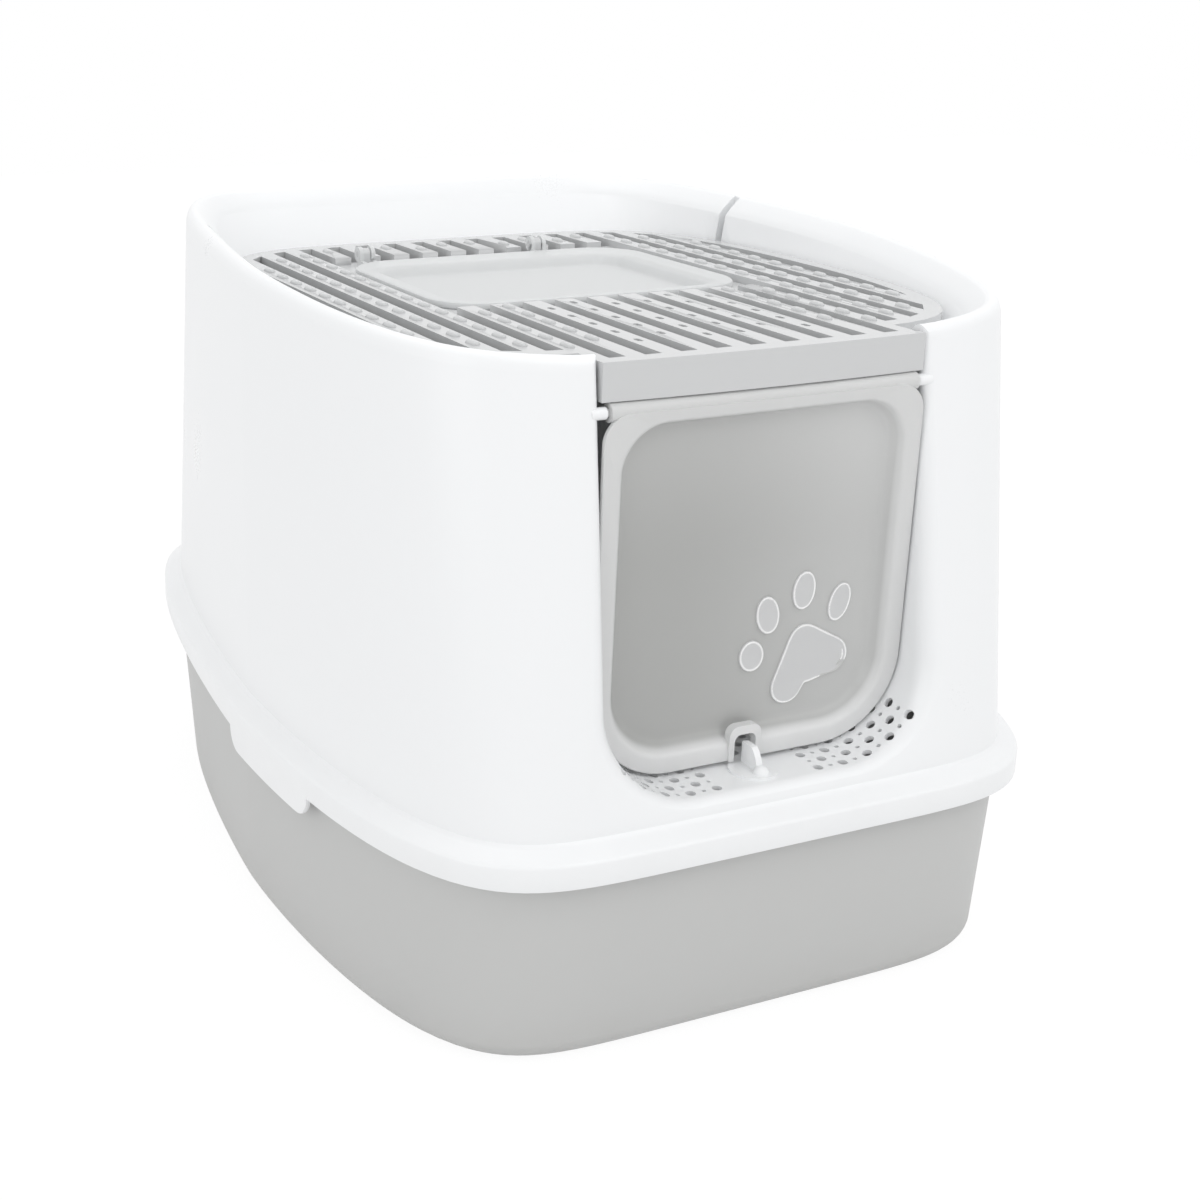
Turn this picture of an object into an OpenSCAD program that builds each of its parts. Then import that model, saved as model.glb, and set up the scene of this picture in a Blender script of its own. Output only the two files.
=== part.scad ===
// Top entry litter box: grey tray, white hood, slatted lid with a top flap,
// swinging front door and a turning door latch.
// Millimetres, +Z up, front towards -Y, centred in plan, resting on z = 0.

/* [Body] */
// Overall width across the hood skirt
body_w = 400; // [320:1:500]
// Overall length over the hood skirt, front to back
body_l = 511; // [420:1:640]
// Share of the length that lies in front of the widest line
front_share = 0.45; // [0.4:0.01:0.55]
// Corner fullness of the front half of the plan
front_full = 7; // [4:0.1:9]
// Corner fullness of the rear half of the plan
rear_full = 8.5; // [4:0.1:11]
// Wall thickness of hood and tray
wall = 2.5; // [1.8:0.1:4]

/* [Tray] */
// Height of the lower edge of the hood skirt above the floor
skirt_z = 100; // [70:1:150]
// Side taper of the tray from rim to foot
tray_side_in = 1; // [0:0.5:14]
// Front taper of the tray from rim to foot
tray_front_in = 6; // [2:0.5:20]
// Rear taper of the tray from rim to foot
tray_rear_in = 36; // [5:1:45]
// Radius of the tray foot edge
foot_r = 11; // [6:0.5:25]

/* [Hood] */
// Height of the upright skirt band
skirt_face = 12.5; // [6:0.5:20]
// Width of the sloped shoulder above the skirt
shoulder_in = 10; // [6:0.5:18]
// Rise of the sloped shoulder
shoulder_up = 5; // [3:0.5:12]
// Height of the rim beside the doorway above the floor
rim_front_z = 333; // [280:1:420]
// Extra height of the rim at the back
rim_rise = 21; // [8:1:40]
// Lean of the front wall from shoulder to rim
lean_front = 45; // [30:1:60]
// Lean of the rear wall from shoulder to rim
lean_rear = 55; // [40:1:70]

// Width of the grip tab on each side of the skirt
tab_w = 98; // [50:1:120]
// Drop of the grip tab below the skirt
tab_h = 12; // [6:0.5:16]

/* [Doorway] */
// Width of the doorway at its top
door_open_w = 176; // [140:1:200]
// Height of the sill above the hood shoulder
sill_up = 8.5; // [6:0.5:14]
// Corner radius at the foot of the doorway
door_r = 45; // [30:1:60]
// Depth of the doorway channel behind the front door
channel_in = 55; // [35:1:90]
// Clear gap between front door and doorway each side
door_gap = 5; // [3:0.5:8]
// Thickness of the front door from rim face to pan floor
door_t = 10; // [7:0.5:14]
// Radius that rounds the front wall into the sides of the doorway
flare_r = 12; // [6:0.5:16]
// Radius that rounds the front edge of the sill
sill_r = 6; // [3:0.5:7]
// Spacing of the drain holes across the sill
drain_pitch = 7.2; // [6:0.1:10]
// Diameter of the large drain holes
drain_d = 5; // [3:0.1:5.5]
// Rows of drain holes from front to back
drain_rows = 7; // [3:1:9]
// Height of the paw relief on the front door
paw_up = 1; // [0.6:0.1:1.6]

/* [Lid] */
// Pitch of the lid slats
slat_pitch = 18.6; // [15:0.1:22]
// Width of one slat
slat_w = 10; // [7:0.1:12]
// Depth of the slats
lid_t = 10; // [8:0.5:16]
// Backward tilt of the lid
lid_tilt = 1.0; // [0:0.1:2]
// Height of the fascia at the front of the lid
fascia_h = 18; // [14:0.5:26]
// Diameter of the lid hinge pins
lid_pin_d = 9; // [7:0.5:10]
// Spacing of the grip nubs along a slat
nub_pitch = 21.3; // [16:0.1:28]
// Height of the grip nubs
nub_h = 1.2; // [0.8:0.1:2]
// Length of the top flap, front to back
flap_l = 148; // [110:1:170]
// Corner radius of the top flap
flap_r = 30; // [15:1:45]
// Depth of the flap pan below its rim
flap_deep = 9; // [6:0.5:12]

/* [Latch] */
// Diameter of the latch disc
latch_d = 24; // [16:0.5:30]
// Height of the latch fin
fin_h = 11; // [8:0.5:12]

/* [Hidden] */
$fn = 48;

// Plan shape
half_w = body_w / 2;
len_f = body_l * front_share;
len_r = body_l - len_f;
mid_y = len_f - body_l / 2;
bulge_f = 1.8;
bulge_r = 1.28;
seat_full = 6;
seat_bulge_f = 2.2;
seat_bulge_r = 2.8;
steps_a = 8;
steps_b = 11;
split = 0.86;

// Heights
shoulder_z = skirt_z + skirt_face + shoulder_up;
seat_z = skirt_z + skirt_face - 3.5;
rim_back_z = rim_front_z + rim_rise;
lid_z = rim_front_z - 3;
sill_z = shoulder_z + sill_up;

// Rim plan: offsets from the skirt plan at the sides, front and rear
rim_side_in = shoulder_in;
foot_side = rim_side_in + 24.5;
foot_front = lean_front + 20;
foot_rear = lean_rear + 48;

// Doorway and front door
open_h = door_open_w / 2;
face_y = mid_y - len_f + lean_front;
door_y = face_y - 5;
door_back = door_y + door_t;
door_w = door_open_w - 2 * door_gap;
door_bot = sill_z + 2;
fascia_bot = lid_z + 0.5 - fascia_h;
hinge_z = fascia_bot - 5;
hinge_y = door_y + 5;
door_top = hinge_z - 1;
door_corner = door_r - door_gap;
door_pin_d = 4;
pan_in = 9;
pan_draft = 7;

// Lid
lid_front = face_y;
pin_y = mid_y + 0.374 * len_r;
pin_share = (pin_y - mid_y) / (len_r - foot_rear);
pin_x = (half_w - foot_side) * pow(1 - pow(pin_share, seat_bulge_r), 1 / seat_full);
n_half = floor((pin_x - slat_w / 2 - 8) / slat_pitch + 0.5);
cut_half = floor(door_open_w / 2 / slat_pitch + 0.8);
flap_half = cut_half * slat_pitch - 1.0;
flap_back = pin_y + 7;
flap_front = flap_back - flap_l;
flap_axis_y = flap_back + 4.5;
flap_axis_z = 3.5;
clip_a = -(cut_half - 1) * slat_pitch;
clip_b = floor(cut_half / 2) * slat_pitch;
rest_z = -4;

// Grip nubs
nub_w = 3.2;
nub_l = 8.6;
nub_n = ceil(body_l / nub_pitch);

// Drain holes
drain_flat = open_h - door_r;
drain_n = floor((drain_flat + door_r * 1.1) / drain_pitch);
drain_y = mid_y - len_f + shoulder_in + 11;
drain_step = 7.4;

// Grip tabs
tab_y = mid_y - 0.21 * len_f;

// Latch
latch_x = -2;
latch_y = door_y - 9;

// Unit outline of one quarter of the plan, from the centre line to the side
function quarter(m, n) = let (ys = pow(1 - pow(split, m), 1 / n)) concat(
    [for (i = [1 : steps_a - 1]) let (x = split * pow(i / steps_a, 0.55)) [x, pow(1 - pow(x, m), 1 / n)]],
    [for (j = [0 : steps_b - 1]) let (y = ys * (1 - j / steps_b)) [pow(1 - pow(y, n), 1 / m), y]]
);
q = steps_a + steps_b - 1;
function whole(f, r) = concat(
    [for (i = [0 : q - 1]) [f[i][0], -f[i][1]]],
    [[1, 0]],
    [for (i = [q - 1 : -1 : 0]) r[i]],
    [for (i = [0 : q - 1]) [-r[i][0], r[i][1]]],
    [[-1, 0]],
    [for (i = [q - 1 : -1 : 0]) [-f[i][0], -f[i][1]]]
);
shapes = [[front_full, bulge_f, rear_full, bulge_r], [seat_full, seat_bulge_f, seat_full, seat_bulge_r]];
units = [for (c = shapes) whole(quarter(c[0], c[1]), quarter(c[2], c[3]))];
ring_n = len(units[0]);

// Outward direction of the plan at one outline point
function slope(u, a, b, m, n) = let (
    gx = m * pow(abs(u[0]), m - 1) / a * sign(u[0]),
    gy = n * pow(abs(u[1]), n - 1) / b * sign(u[1]),
    l = sqrt(gx * gx + gy * gy)
) [gx / l, gy / l];

// One plan point: side, front and rear insets, then an even inset, in hull shape 0 or seat shape 1
function plan(k, s, f, r, d, c) = let (
    u = units[c][k],
    a = half_w - s,
    b = u[1] < 0 ? len_f - f : len_r - r,
    m = u[1] < 0 ? shapes[c][0] : shapes[c][2],
    n = u[1] < 0 ? shapes[c][1] : shapes[c][3],
    g = slope(u, a, b, m, n)
) [a * u[0] - d * g[0], mid_y + b * u[1] - d * g[1]];

// Rim height by bearing from the front, level lid plane height by depth
function bearing(p) = atan2(abs(p[0]), -(p[1] - mid_y));
function rim_z(p) = rim_back_z - rim_rise * pow(min(1, (180 - bearing(p)) / 152), 2.35);
function lid_plane(y) = lid_z - tan(lid_tilt) * (y - lid_front);

// Section point: [side, front, rear, inset, mode, height]. Heights count from the floor in mode 0,
// from the rim in mode 1 and from the lid plane in modes 2 and 3. Mode 3 is the lid ledge, which
// ends in front of the lid pins so that the tail of the lid can dip.
function lift(p, mode, h) = mode == 0 ? h : mode == 1 ? rim_z(p) + h : lid_plane(p[1]) + h;
function shape_of(mode) = mode < 2 ? 0 : 1;
function inset_of(st, k) = st[4] < 3 ? st[3] : seat_point(k, 0)[1] < pin_y - 12 ? st[3] : 0.4;
function ring(st) = [for (k = [0 : ring_n - 1])
    let (p = plan(k, st[0], st[1], st[2], inset_of(st, k), shape_of(st[4])))
    [p[0], p[1], lift(p, st[4], st[5])]];
function outline(d) = [for (k = [0 : ring_n - 1]) plan(k, 0, 0, 0, d, 0)];
function seat_point(k, d) = plan(k, foot_side, foot_front, foot_rear, d, 1);
function seat_outline(d) = [for (k = [0 : ring_n - 1]) seat_point(k, d)];

// Closed ring swept through every section point
module ring_body(sts) {
    m = len(sts);
    pts = [for (st = sts) each ring(st)];
    faces = [for (i = [0 : m - 1]) for (k = [0 : ring_n - 1])
        let (j = (i + 1) % m, l = (k + 1) % ring_n)
        let (a = i * ring_n, b = j * ring_n)
        each [[a + k, b + k, b + l], [a + k, b + l, a + l]]];
    polyhedron(points = pts, faces = faces, convexity = 8);
}

// Stack of outlines with flat ends
module stack_body(sts) {
    m = len(sts);
    pts = [for (st = sts) each ring(st)];
    faces = [for (i = [0 : m - 2]) for (k = [0 : ring_n - 1])
        let (j = i + 1, l = (k + 1) % ring_n)
        let (a = i * ring_n, b = j * ring_n)
        each [[a + k, b + k, b + l], [a + k, b + l, a + l]]];
    low = [for (k = [0 : ring_n - 1]) k];
    high = [for (k = [ring_n - 1 : -1 : 0]) (m - 1) * ring_n + k];
    polyhedron(points = pts, faces = concat(faces, [low], [high]), convexity = 8);
}

// Depth of the front wall at one point of the doorway
function wall_y(x, z) = mid_y - len_f + shoulder_in
    + (z - shoulder_z) * (lean_front - shoulder_in) / (rim_front_z - 7 - shoulder_z)
    + (len_f - lean_front)
        * (1 - pow(1 - pow(min(0.9, abs(x) / (half_w - shoulder_in)), front_full), 1 / bulge_f));

// Doorway outline grown by o, rounded by the angle turn where it meets the front wall
function mouth_point(c, a, turn, o) = let (
    side = cos(a) * cos(a),
    r = side * flare_r + (1 - side) * sill_r,
    d = door_r + o + r * (1 - cos(turn)),
    x = c * (open_h - door_r) + d * cos(a),
    z = sill_z + door_r + d * sin(a)
) [x, wall_y(x, z) + r * (1 - sin(turn)), z];
function mouth_line(turn, o) = let (
    low = concat(
        [for (i = [0 : 10]) mouth_point(-1, 180 + 9 * i, turn, o)],
        [for (i = [0 : 10]) mouth_point(1, 270 + 9 * i, turn, o)]
    ),
    a = low[0],
    b = low[21],
    up = rim_back_z + 20
) concat([[a[0], wall_y(a[0], up) + a[1] - wall_y(a[0], a[2]), up]], low,
    [[b[0], wall_y(b[0], up) + b[1] - wall_y(b[0], b[2]), up]]);
function flat_line(pts, y) = [for (v = pts) [v[0], y, v[2]]];

// Solid that fills the doorway from front to back, flared into the front wall
module mouth_body(o, back) {
    lines = concat(
        [flat_line(mouth_line(90, o), mid_y - len_f - 5)],
        [for (turn = [90 : -15 : 0]) mouth_line(turn, o)],
        [flat_line(mouth_line(0, o), back)]
    );
    m = len(lines);
    n = len(lines[0]);
    faces = [for (i = [0 : m - 2]) for (k = [0 : n - 1])
        let (l = (k + 1) % n)
        each [[i * n + k, (i + 1) * n + l, (i + 1) * n + k], [i * n + k, i * n + l, (i + 1) * n + l]]];
    front = [for (k = [n - 1 : -1 : 0]) k];
    rear = [for (k = [0 : n - 1]) (m - 1) * n + k];
    polyhedron(points = [for (l = lines) each l], faces = concat(faces, [front], [rear]), convexity = 6);
}

// Drain holes through the sill, large and small in turn, following its rounded corners
module drain_holes() {
    for (row = [0 : drain_rows - 1])
        for (col = [-drain_n : drain_n]) {
            s = abs(col) * drain_pitch;
            y = drain_y + row * drain_step;
            x = min(s, drain_flat) * sign(col);
            a = max(0, s - drain_flat) / door_r * 180 / PI;
            d = (row + col + 60) % 2 == 0 ? drain_d : drain_d * 0.46;
            if (s > latch_d || abs(y - latch_y) > latch_d / 2 + 4)
                translate([x, y, sill_z + door_r])
                    rotate([0, -sign(col) * a, 0])
                        translate([0, 0, -door_r - wall - 1])
                            cylinder(d = d, h = wall + 2, $fn = 16);
        }
}

// Rounded foot outline of the doorway, standing in X and Y, open at the top
module door_u(w, bottom, top, r) {
    translate([-w / 2 + r, bottom])
        square([w - 2 * r, top - bottom]);
    translate([-w / 2, bottom + r])
        square([w, top - bottom - r]);
    translate([-w / 2 + r, bottom + r])
        circle(r, $fn = 72);
    translate([w / 2 - r, bottom + r])
        circle(r, $fn = 72);
}

// Rounded rectangle from corner to corner
module soft_rect(x0, y0, x1, y1, r) {
    translate([x0 + r, y0])
        square([x1 - x0 - 2 * r, y1 - y0]);
    translate([x0, y0 + r])
        square([x1 - x0, y1 - y0 - 2 * r]);
    for (x = [x0 + r, x1 - r])
        for (y = [y0 + r, y1 - r])
            translate([x, y])
                circle(r);
}

// Frame of the lid: slat tops on z = 0, tilted about the front edge
module on_lid() {
    translate([0, lid_front, lid_z])
        rotate([-lid_tilt, 0, 0])
            translate([0, -lid_front, 0])
                children();
}

// Upright plate standing across the front, drawn in X and Z
module upright(y0, y1) {
    translate([0, y1, 0])
        rotate([90, 0, 0])
            linear_extrude(y1 - y0)
                children();
}

module tray() {
    top = shoulder_in - 1.5;
    s = top + tray_side_in;
    f = top + tray_front_in;
    r = top + tray_rear_in;
    k = foot_r / seat_z;
    color([0.77, 0.775, 0.775])
        stack_body([
            [s, f, r, foot_r, 0, 0],
            [s, f, r, foot_r * 0.5, 0, foot_r * 0.134],
            [s, f, r, foot_r * 0.134, 0, foot_r * 0.5],
            [s - tray_side_in * k, f - tray_front_in * k, r - tray_rear_in * k, 0, 0, foot_r],
            [top, top, top, 0, 0, seat_z - 6],
            [wall + 0.6, wall + 0.6, wall + 0.6, 0, 0, seat_z - 3.5],
            [wall + 0.6, wall + 0.6, wall + 0.6, 0, 0, seat_z],
            [top, top, top, wall, 0, seat_z],
            [s - tray_side_in * k, f - tray_front_in * k, r - tray_rear_in * k, wall, 0, foot_r],
            [s, f, r, foot_r * 0.134 + wall, 0, foot_r * 0.5 + wall * 0.5],
            [s, f, r, foot_r * 0.5 + wall, 0, foot_r * 0.134 + wall * 0.9],
            [s, f, r, foot_r + wall, 0, wall]
        ]);
}

// Outer shape of the hood, solid up to the seat of the lid
module hood_envelope() {
    e = 0.5;
    s = rim_side_in;
    stack_body([
        [0, 0, 0, shoulder_in + e, 0, shoulder_z - 1],
        [s, lean_front, lean_rear, e, 1, -7],
        [s, lean_front, lean_rear, 1.2 + e, 1, -3],
        [s, lean_front, lean_rear, 3.2, 1, -1],
        [s, lean_front, lean_rear, 5.5, 1, -e],
        [s, lean_front, lean_rear, 8, 1, -1.4],
        [s, lean_front, lean_rear, 15 - e, 1, -8.5],
        [s, lean_front, lean_rear, 17, 1, -11.5],
        [foot_side, foot_front, foot_rear, -e, 2, -lid_t - 1]
    ]);
}

module hood_shell() {
    s = rim_side_in;
    ring_body([
        [0, 0, 0, 0, 0, skirt_z],
        [0, 0, 0, 0, 0, skirt_z + skirt_face],
        [0, 0, 0, shoulder_in, 0, shoulder_z],
        [s, lean_front, lean_rear, 0, 1, -7],
        [s, lean_front, lean_rear, 1.2, 1, -3],
        [s, lean_front, lean_rear, 3.2, 1, -0.7],
        [s, lean_front, lean_rear, 5.5, 1, 0],
        [s, lean_front, lean_rear, 8, 1, -1],
        [s, lean_front, lean_rear, 15, 1, -8],
        [s, lean_front, lean_rear, 17.5, 1, -11.5],
        [foot_side, foot_front, foot_rear, 0, 2, -lid_t - 0.1],
        [foot_side, foot_front, foot_rear, 9, 3, -lid_t - 0.1],
        [foot_side, foot_front, foot_rear, 9, 3, -lid_t - wall],
        [foot_side, foot_front, foot_rear, -wall, 2, -lid_t - wall],
        [s, lean_front, lean_rear, 15, 1, -12.5],
        [s, lean_front, lean_rear, 13, 1, -10],
        [s, lean_front, lean_rear, 6.5, 1, -3.4],
        [s, lean_front, lean_rear, 4.5, 1, -4],
        [s, lean_front, lean_rear, wall, 1, -8],
        [0, 0, 0, shoulder_in + wall, 0, shoulder_z - 0.5],
        [0, 0, 0, shoulder_in - 2, 0, seat_z],
        [0, 0, 0, wall, 0, seat_z],
        [0, 0, 0, wall, 0, skirt_z]
    ]);
}

// Grip tabs that hang from the skirt at both sides
module skirt_tabs() {
    intersection() {
        translate([0, 0, skirt_z - tab_h])
            linear_extrude(tab_h + 3)
                difference() {
                    polygon(outline(0));
                    polygon(outline(wall));
                }
        translate([-half_w - 5, 0, 0])
            rotate([90, 0, 90])
                linear_extrude(body_w + 10)
                    soft_rect(tab_y - tab_w / 2, skirt_z - tab_h, tab_y + tab_w / 2, skirt_z + 12, 11.5);
    }
}

// Round boss on a doorway cheek that carries one door pin
module door_boss(side) {
    translate([side * (open_h + 0.5), hinge_y, hinge_z])
        rotate([0, 90, 0])
            cylinder(d = door_pin_d + 5, h = 8, center = true);
}

// Walls round the slots that take the lid pins
module slot_walls() {
    h = lid_pin_d / 2 + 2.2;
    intersection() {
        hood_envelope();
        for (side = [-1, 1])
            translate([side * (pin_x + 8.4) - 8.1, pin_y - h, lid_plane(pin_y) - lid_t / 2 - h])
                cube([16.2, 2 * h, rim_rise + 40]);
    }
}

module hood() {
    in_y = door_back + channel_in;
    w = wall;
    pz = lid_plane(pin_y) - lid_t / 2;
    color([0.96, 0.96, 0.96])
        difference() {
            union() {
                difference() {
                    union() {
                        hood_shell();
                        skirt_tabs();
                        intersection() {
                            hood_envelope();
                            mouth_body(w, in_y);
                        }
                    }
                    mouth_body(0, in_y + 5);
                    drain_holes();
                }
                slot_walls();
                for (side = [-1, 1])
                    door_boss(side);
            }
            for (side = [-1, 1]) {
                translate([side * (pin_x + 3), pin_y, pz])
                    rotate([0, 90, 0])
                        cylinder(d = lid_pin_d + 0.1, h = 22, center = true);
                translate([side * (pin_x + 3) - 11, pin_y - lid_pin_d / 2 - 0.05, pz])
                    cube([22, lid_pin_d + 0.1, rim_rise + 30]);
                translate([side * (open_h + 2), hinge_y, hinge_z])
                    rotate([0, 90, 0])
                        cylinder(d = door_pin_d + 0.1, h = 14, center = true);
            }
            translate([latch_x, latch_y, sill_z - w - 2])
                cylinder(d = 8.1, h = w + 4);
        }
}

// Plan of the lid with its front tongue between the door pillars, inset by d
module lid_field(d) {
    polygon(seat_outline(1 + d));
    translate([-open_h + 1.5, lid_front + 1])
        square([door_open_w - 3, len_f * 0.5]);
}

// Plan of the lid: border, slats and front bar
module lid_plan() {
    intersection() {
        union() {
            difference() {
                lid_field(0);
                polygon(seat_outline(10));
                translate([-open_h, lid_front + 9])
                    square([door_open_w, len_f * 0.5]);
            }
            for (i = [0 : n_half - 1])
                for (side = [-1, 1])
                    translate([side * (i + 0.5) * slat_pitch - slat_w / 2, lid_front + 2])
                        square([slat_w, body_l]);
        }
        lid_field(0);
    }
}

// True where a nub stands clear on the slats: inside the border, outside the flap frame
function on_slats(x, y) = let (
    a = half_w - foot_side - 14,
    b = y < mid_y ? len_f - foot_front - 10 : len_r - foot_rear - 16,
    n = y < mid_y ? seat_bulge_f : seat_bulge_r
) pow(abs(x) / a, seat_full) + pow(abs(y - mid_y) / b, n) < 1
    && (abs(x) > cut_half * slat_pitch || y > flap_back + 21 + nub_l / 2 || y < flap_front - 5 - nub_l / 2);
function nub_spot(i, side, j) =
    [side * (i + 0.5) * slat_pitch, lid_front + 17 + (j + (i % 2) * 0.5) * nub_pitch];

// Slats in front of the flap carry slots in place of nubs
function slotted(i, y) = i < 3 && y < flap_front && y > lid_front + 32;

// Capsule lying along Y
module capsule(x, y, w, l) {
    translate([x - w / 2, y - (l - w) / 2])
        square([w, l - w]);
    for (end = [-1, 1])
        translate([x, y + end * (l - w) / 2])
            circle(w / 2, $fn = 12);
}

// Capsules at every place that is to be nubbed, or slotted when the flag is set
module nub_field(slots) {
    for (i = [0 : n_half - 1])
        for (side = [-1, 1])
            for (j = [0 : nub_n]) {
                c = nub_spot(i, side, j);
                if (on_slats(c[0], c[1]) && slotted(i, c[1]) == slots)
                    capsule(c[0], c[1], slots ? 3 : nub_w, slots ? 6.5 : nub_l);
            }
}

module grille_lid() {
    color([0.78, 0.785, 0.79])
        union() {
            on_lid() {
                difference() {
                    translate([0, 0, -lid_t])
                        linear_extrude(lid_t)
                            lid_plan();
                    translate([-cut_half * slat_pitch, flap_front - 4, -lid_t - 1])
                        cube([2 * cut_half * slat_pitch, flap_l + 19, lid_t + 2]);
                    translate([0, 0, -4])
                        linear_extrude(5)
                            nub_field(true);
                }
                translate([0, 0, -1])
                    linear_extrude(nub_h + 1)
                        nub_field(false);
                translate([0, 0, -lid_t])
                    linear_extrude(lid_t + rest_z)
                        difference() {
                            translate([-cut_half * slat_pitch - 4, flap_front - 10])
                                square([2 * cut_half * slat_pitch + 8, flap_l + 31]);
                            soft_rect(
                                -flap_half + 8, flap_front + 7, flap_half - 8, flap_back - 7, flap_r - 8
                            );
                        }
                for (x = [clip_a, clip_b])
                    flap_lug(x);
            }
            on_lid()
                fascia();
            for (side = [-1, 1])
                translate([side * (pin_x + 0.5), pin_y, lid_plane(pin_y) - lid_t / 2])
                    rotate([0, 90, 0])
                        cylinder(d = lid_pin_d, h = 14, center = true);
        }
}

// Post of the lid that carries one pair of flap ears on a cross pin
module flap_lug(x) {
    translate([x - 2, flap_axis_y, flap_axis_z])
        rotate([0, 90, 0])
            cylinder(r = 3.4, h = 4);
    translate([x - 2, flap_axis_y - 3.4, -lid_t])
        cube([4, 6.8, lid_t + flap_axis_z]);
    translate([x - 4.8, flap_axis_y, flap_axis_z])
        rotate([0, 90, 0])
            cylinder(d = 3.5, h = 9.6);
}

// Curved fascia under the front edge of the lid
module fascia() {
    r = 1600;
    translate([0, 0, 0.4 - fascia_h])
        linear_extrude(fascia_h)
            intersection() {
                translate([-open_h + 1, lid_front - 6])
                    square([door_open_w - 2, 14]);
                difference() {
                    translate([0, lid_front - 3 + r])
                        circle(r, $fn = 720);
                    translate([0, lid_front + r + 2])
                        circle(r, $fn = 720);
                }
            }
}

module top_flap() {
    color([0.84, 0.845, 0.85, 0.8])
        on_lid()
            difference() {
                union() {
                    translate([0, 0, rest_z])
                        linear_extrude(-rest_z)
                            soft_rect(-flap_half, flap_front, flap_half, flap_back, flap_r);
                    translate([0, 0, -flap_deep - 2])
                        linear_extrude(flap_deep + 1)
                            soft_rect(
                                -flap_half + 15, flap_front + 15, flap_half - 15, flap_back - 15, flap_r - 12
                            );
                    for (x = [clip_a, clip_b])
                        for (side = [-1, 1])
                            flap_ear(x + side * 3.6);
                }
                translate([0, 0, -flap_deep])
                    linear_extrude(flap_deep + 1)
                        soft_rect(
                            -flap_half + 17, flap_front + 17, flap_half - 17, flap_back - 17, flap_r - 14
                        );
                for (x = [clip_a, clip_b])
                    translate([x - 6, flap_axis_y, flap_axis_z])
                        rotate([0, 90, 0])
                            cylinder(d = 3.6, h = 12);
            }
}

// One ear of a flap hinge, centred on x
module flap_ear(x) {
    rim_in = flap_r - min(flap_r, flap_half - abs(x) - 1.2);
    reach = max(10, 4.55 + flap_r - sqrt(pow(flap_r, 2) - pow(rim_in, 2)));
    translate([x - 1.2, flap_axis_y, flap_axis_z])
        rotate([0, 90, 0])
            cylinder(r = 4.4, h = 2.4);
    translate([x - 1.2, flap_axis_y - reach, rest_z])
        cube([2.4, reach - 4.3, -rest_z]);
    translate([x - 1.2, flap_axis_y - 4.4, rest_z])
        cube([2.4, 4.4, flap_axis_z - rest_z]);
}

// Outline of the door in X and Z, inset by d
module door_shape(d) {
    r = door_corner;
    h = door_w / 2;
    translate([-h + r, door_bot + d])
        square([2 * (h - r), door_top - door_bot - 2 * d]);
    translate([-h + d, door_bot + r])
        square([2 * (h - d), door_top - door_bot - r - 12]);
    translate([-h + 12, door_top - 14])
        square([2 * (h - 12), 14 - d]);
    for (side = [-1, 1]) {
        translate([side * (h - r), door_bot + r])
            circle(r - d);
        translate([side * (h - 12), door_top - 12])
            circle(12 - d);
    }
}

// Paw relief in X and Z: four toes and a three-lobed pad
module paw() {
    toes = [
        [3.9, 177.6, 7, 8, 10], [11.7, 197.6, 6.6, 9.8, 12],
        [31.8, 207.6, 6.6, 9.8, -4], [53.2, 198.8, 6.2, 10, -16]
    ];
    lobes = [[34, 181, 9], [25.5, 158.5, 9], [51, 171, 9.5]];
    for (t = toes)
        translate([t[0], t[1]])
            rotate(t[4])
                scale([t[2] / 10, t[3] / 10])
                    circle(10);
    for (l = lobes)
        translate([l[0], l[1]])
            circle(l[2]);
    polygon([[25.6, 184.2], [17.1, 161.7], [25.5, 158], [31.6, 151.9], [36, 155.8], [40.5, 159], [45, 161],
        [50, 161.6], [55.8, 179.2], [38.6, 188.8]]);
}

// Pan of the door: rounded rings that shrink from the raised edge down to the pan floor
function pan_ring(d, y, low, high) =
    let (h = door_w / 2 - d, r = max(4, door_corner - d), t = max(4, 30 - d))
    concat(
    [for (i = [0 : 8]) let (a = 180 + i * 11.25) [-h + r + r * cos(a), y, low + d + r + r * sin(a)]],
    [for (i = [0 : 8]) let (a = 270 + i * 11.25) [h - r + r * cos(a), y, low + d + r + r * sin(a)]],
    [for (i = [0 : 8]) let (a = i * 11.25) [h - t + t * cos(a), y, high - d - t + t * sin(a)]],
    [for (i = [0 : 8]) let (a = 90 + i * 11.25) [-h + t + t * cos(a), y, high - d - t + t * sin(a)]]
);
module door_pan() {
    high = hinge_z + 3;
    floor_y = door_back - 2;
    rings = [
        pan_ring(pan_in - 1.2, door_y - 1, door_bot, high),
        pan_ring(pan_in - 1.2, door_y, door_bot, high),
        pan_ring(pan_in + 0.6, door_y + 1.2, door_bot, high),
        pan_ring(pan_in + pan_draft - 3, floor_y - 1.6, door_bot, high),
        pan_ring(pan_in + pan_draft, floor_y, door_bot, high)
    ];
    n = len(rings[0]);
    faces = [for (i = [0 : 3]) for (k = [0 : n - 1])
        let (l = (k + 1) % n)
        each [[i * n + k, (i + 1) * n + l, (i + 1) * n + k], [i * n + k, i * n + l, (i + 1) * n + l]]];
    front = [for (k = [n - 1 : -1 : 0]) k];
    rear = [for (k = [0 : n - 1]) 4 * n + k];
    polyhedron(points = [for (r = rings) each r], faces = concat(faces, [front], [rear]), convexity = 4);
}

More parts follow.
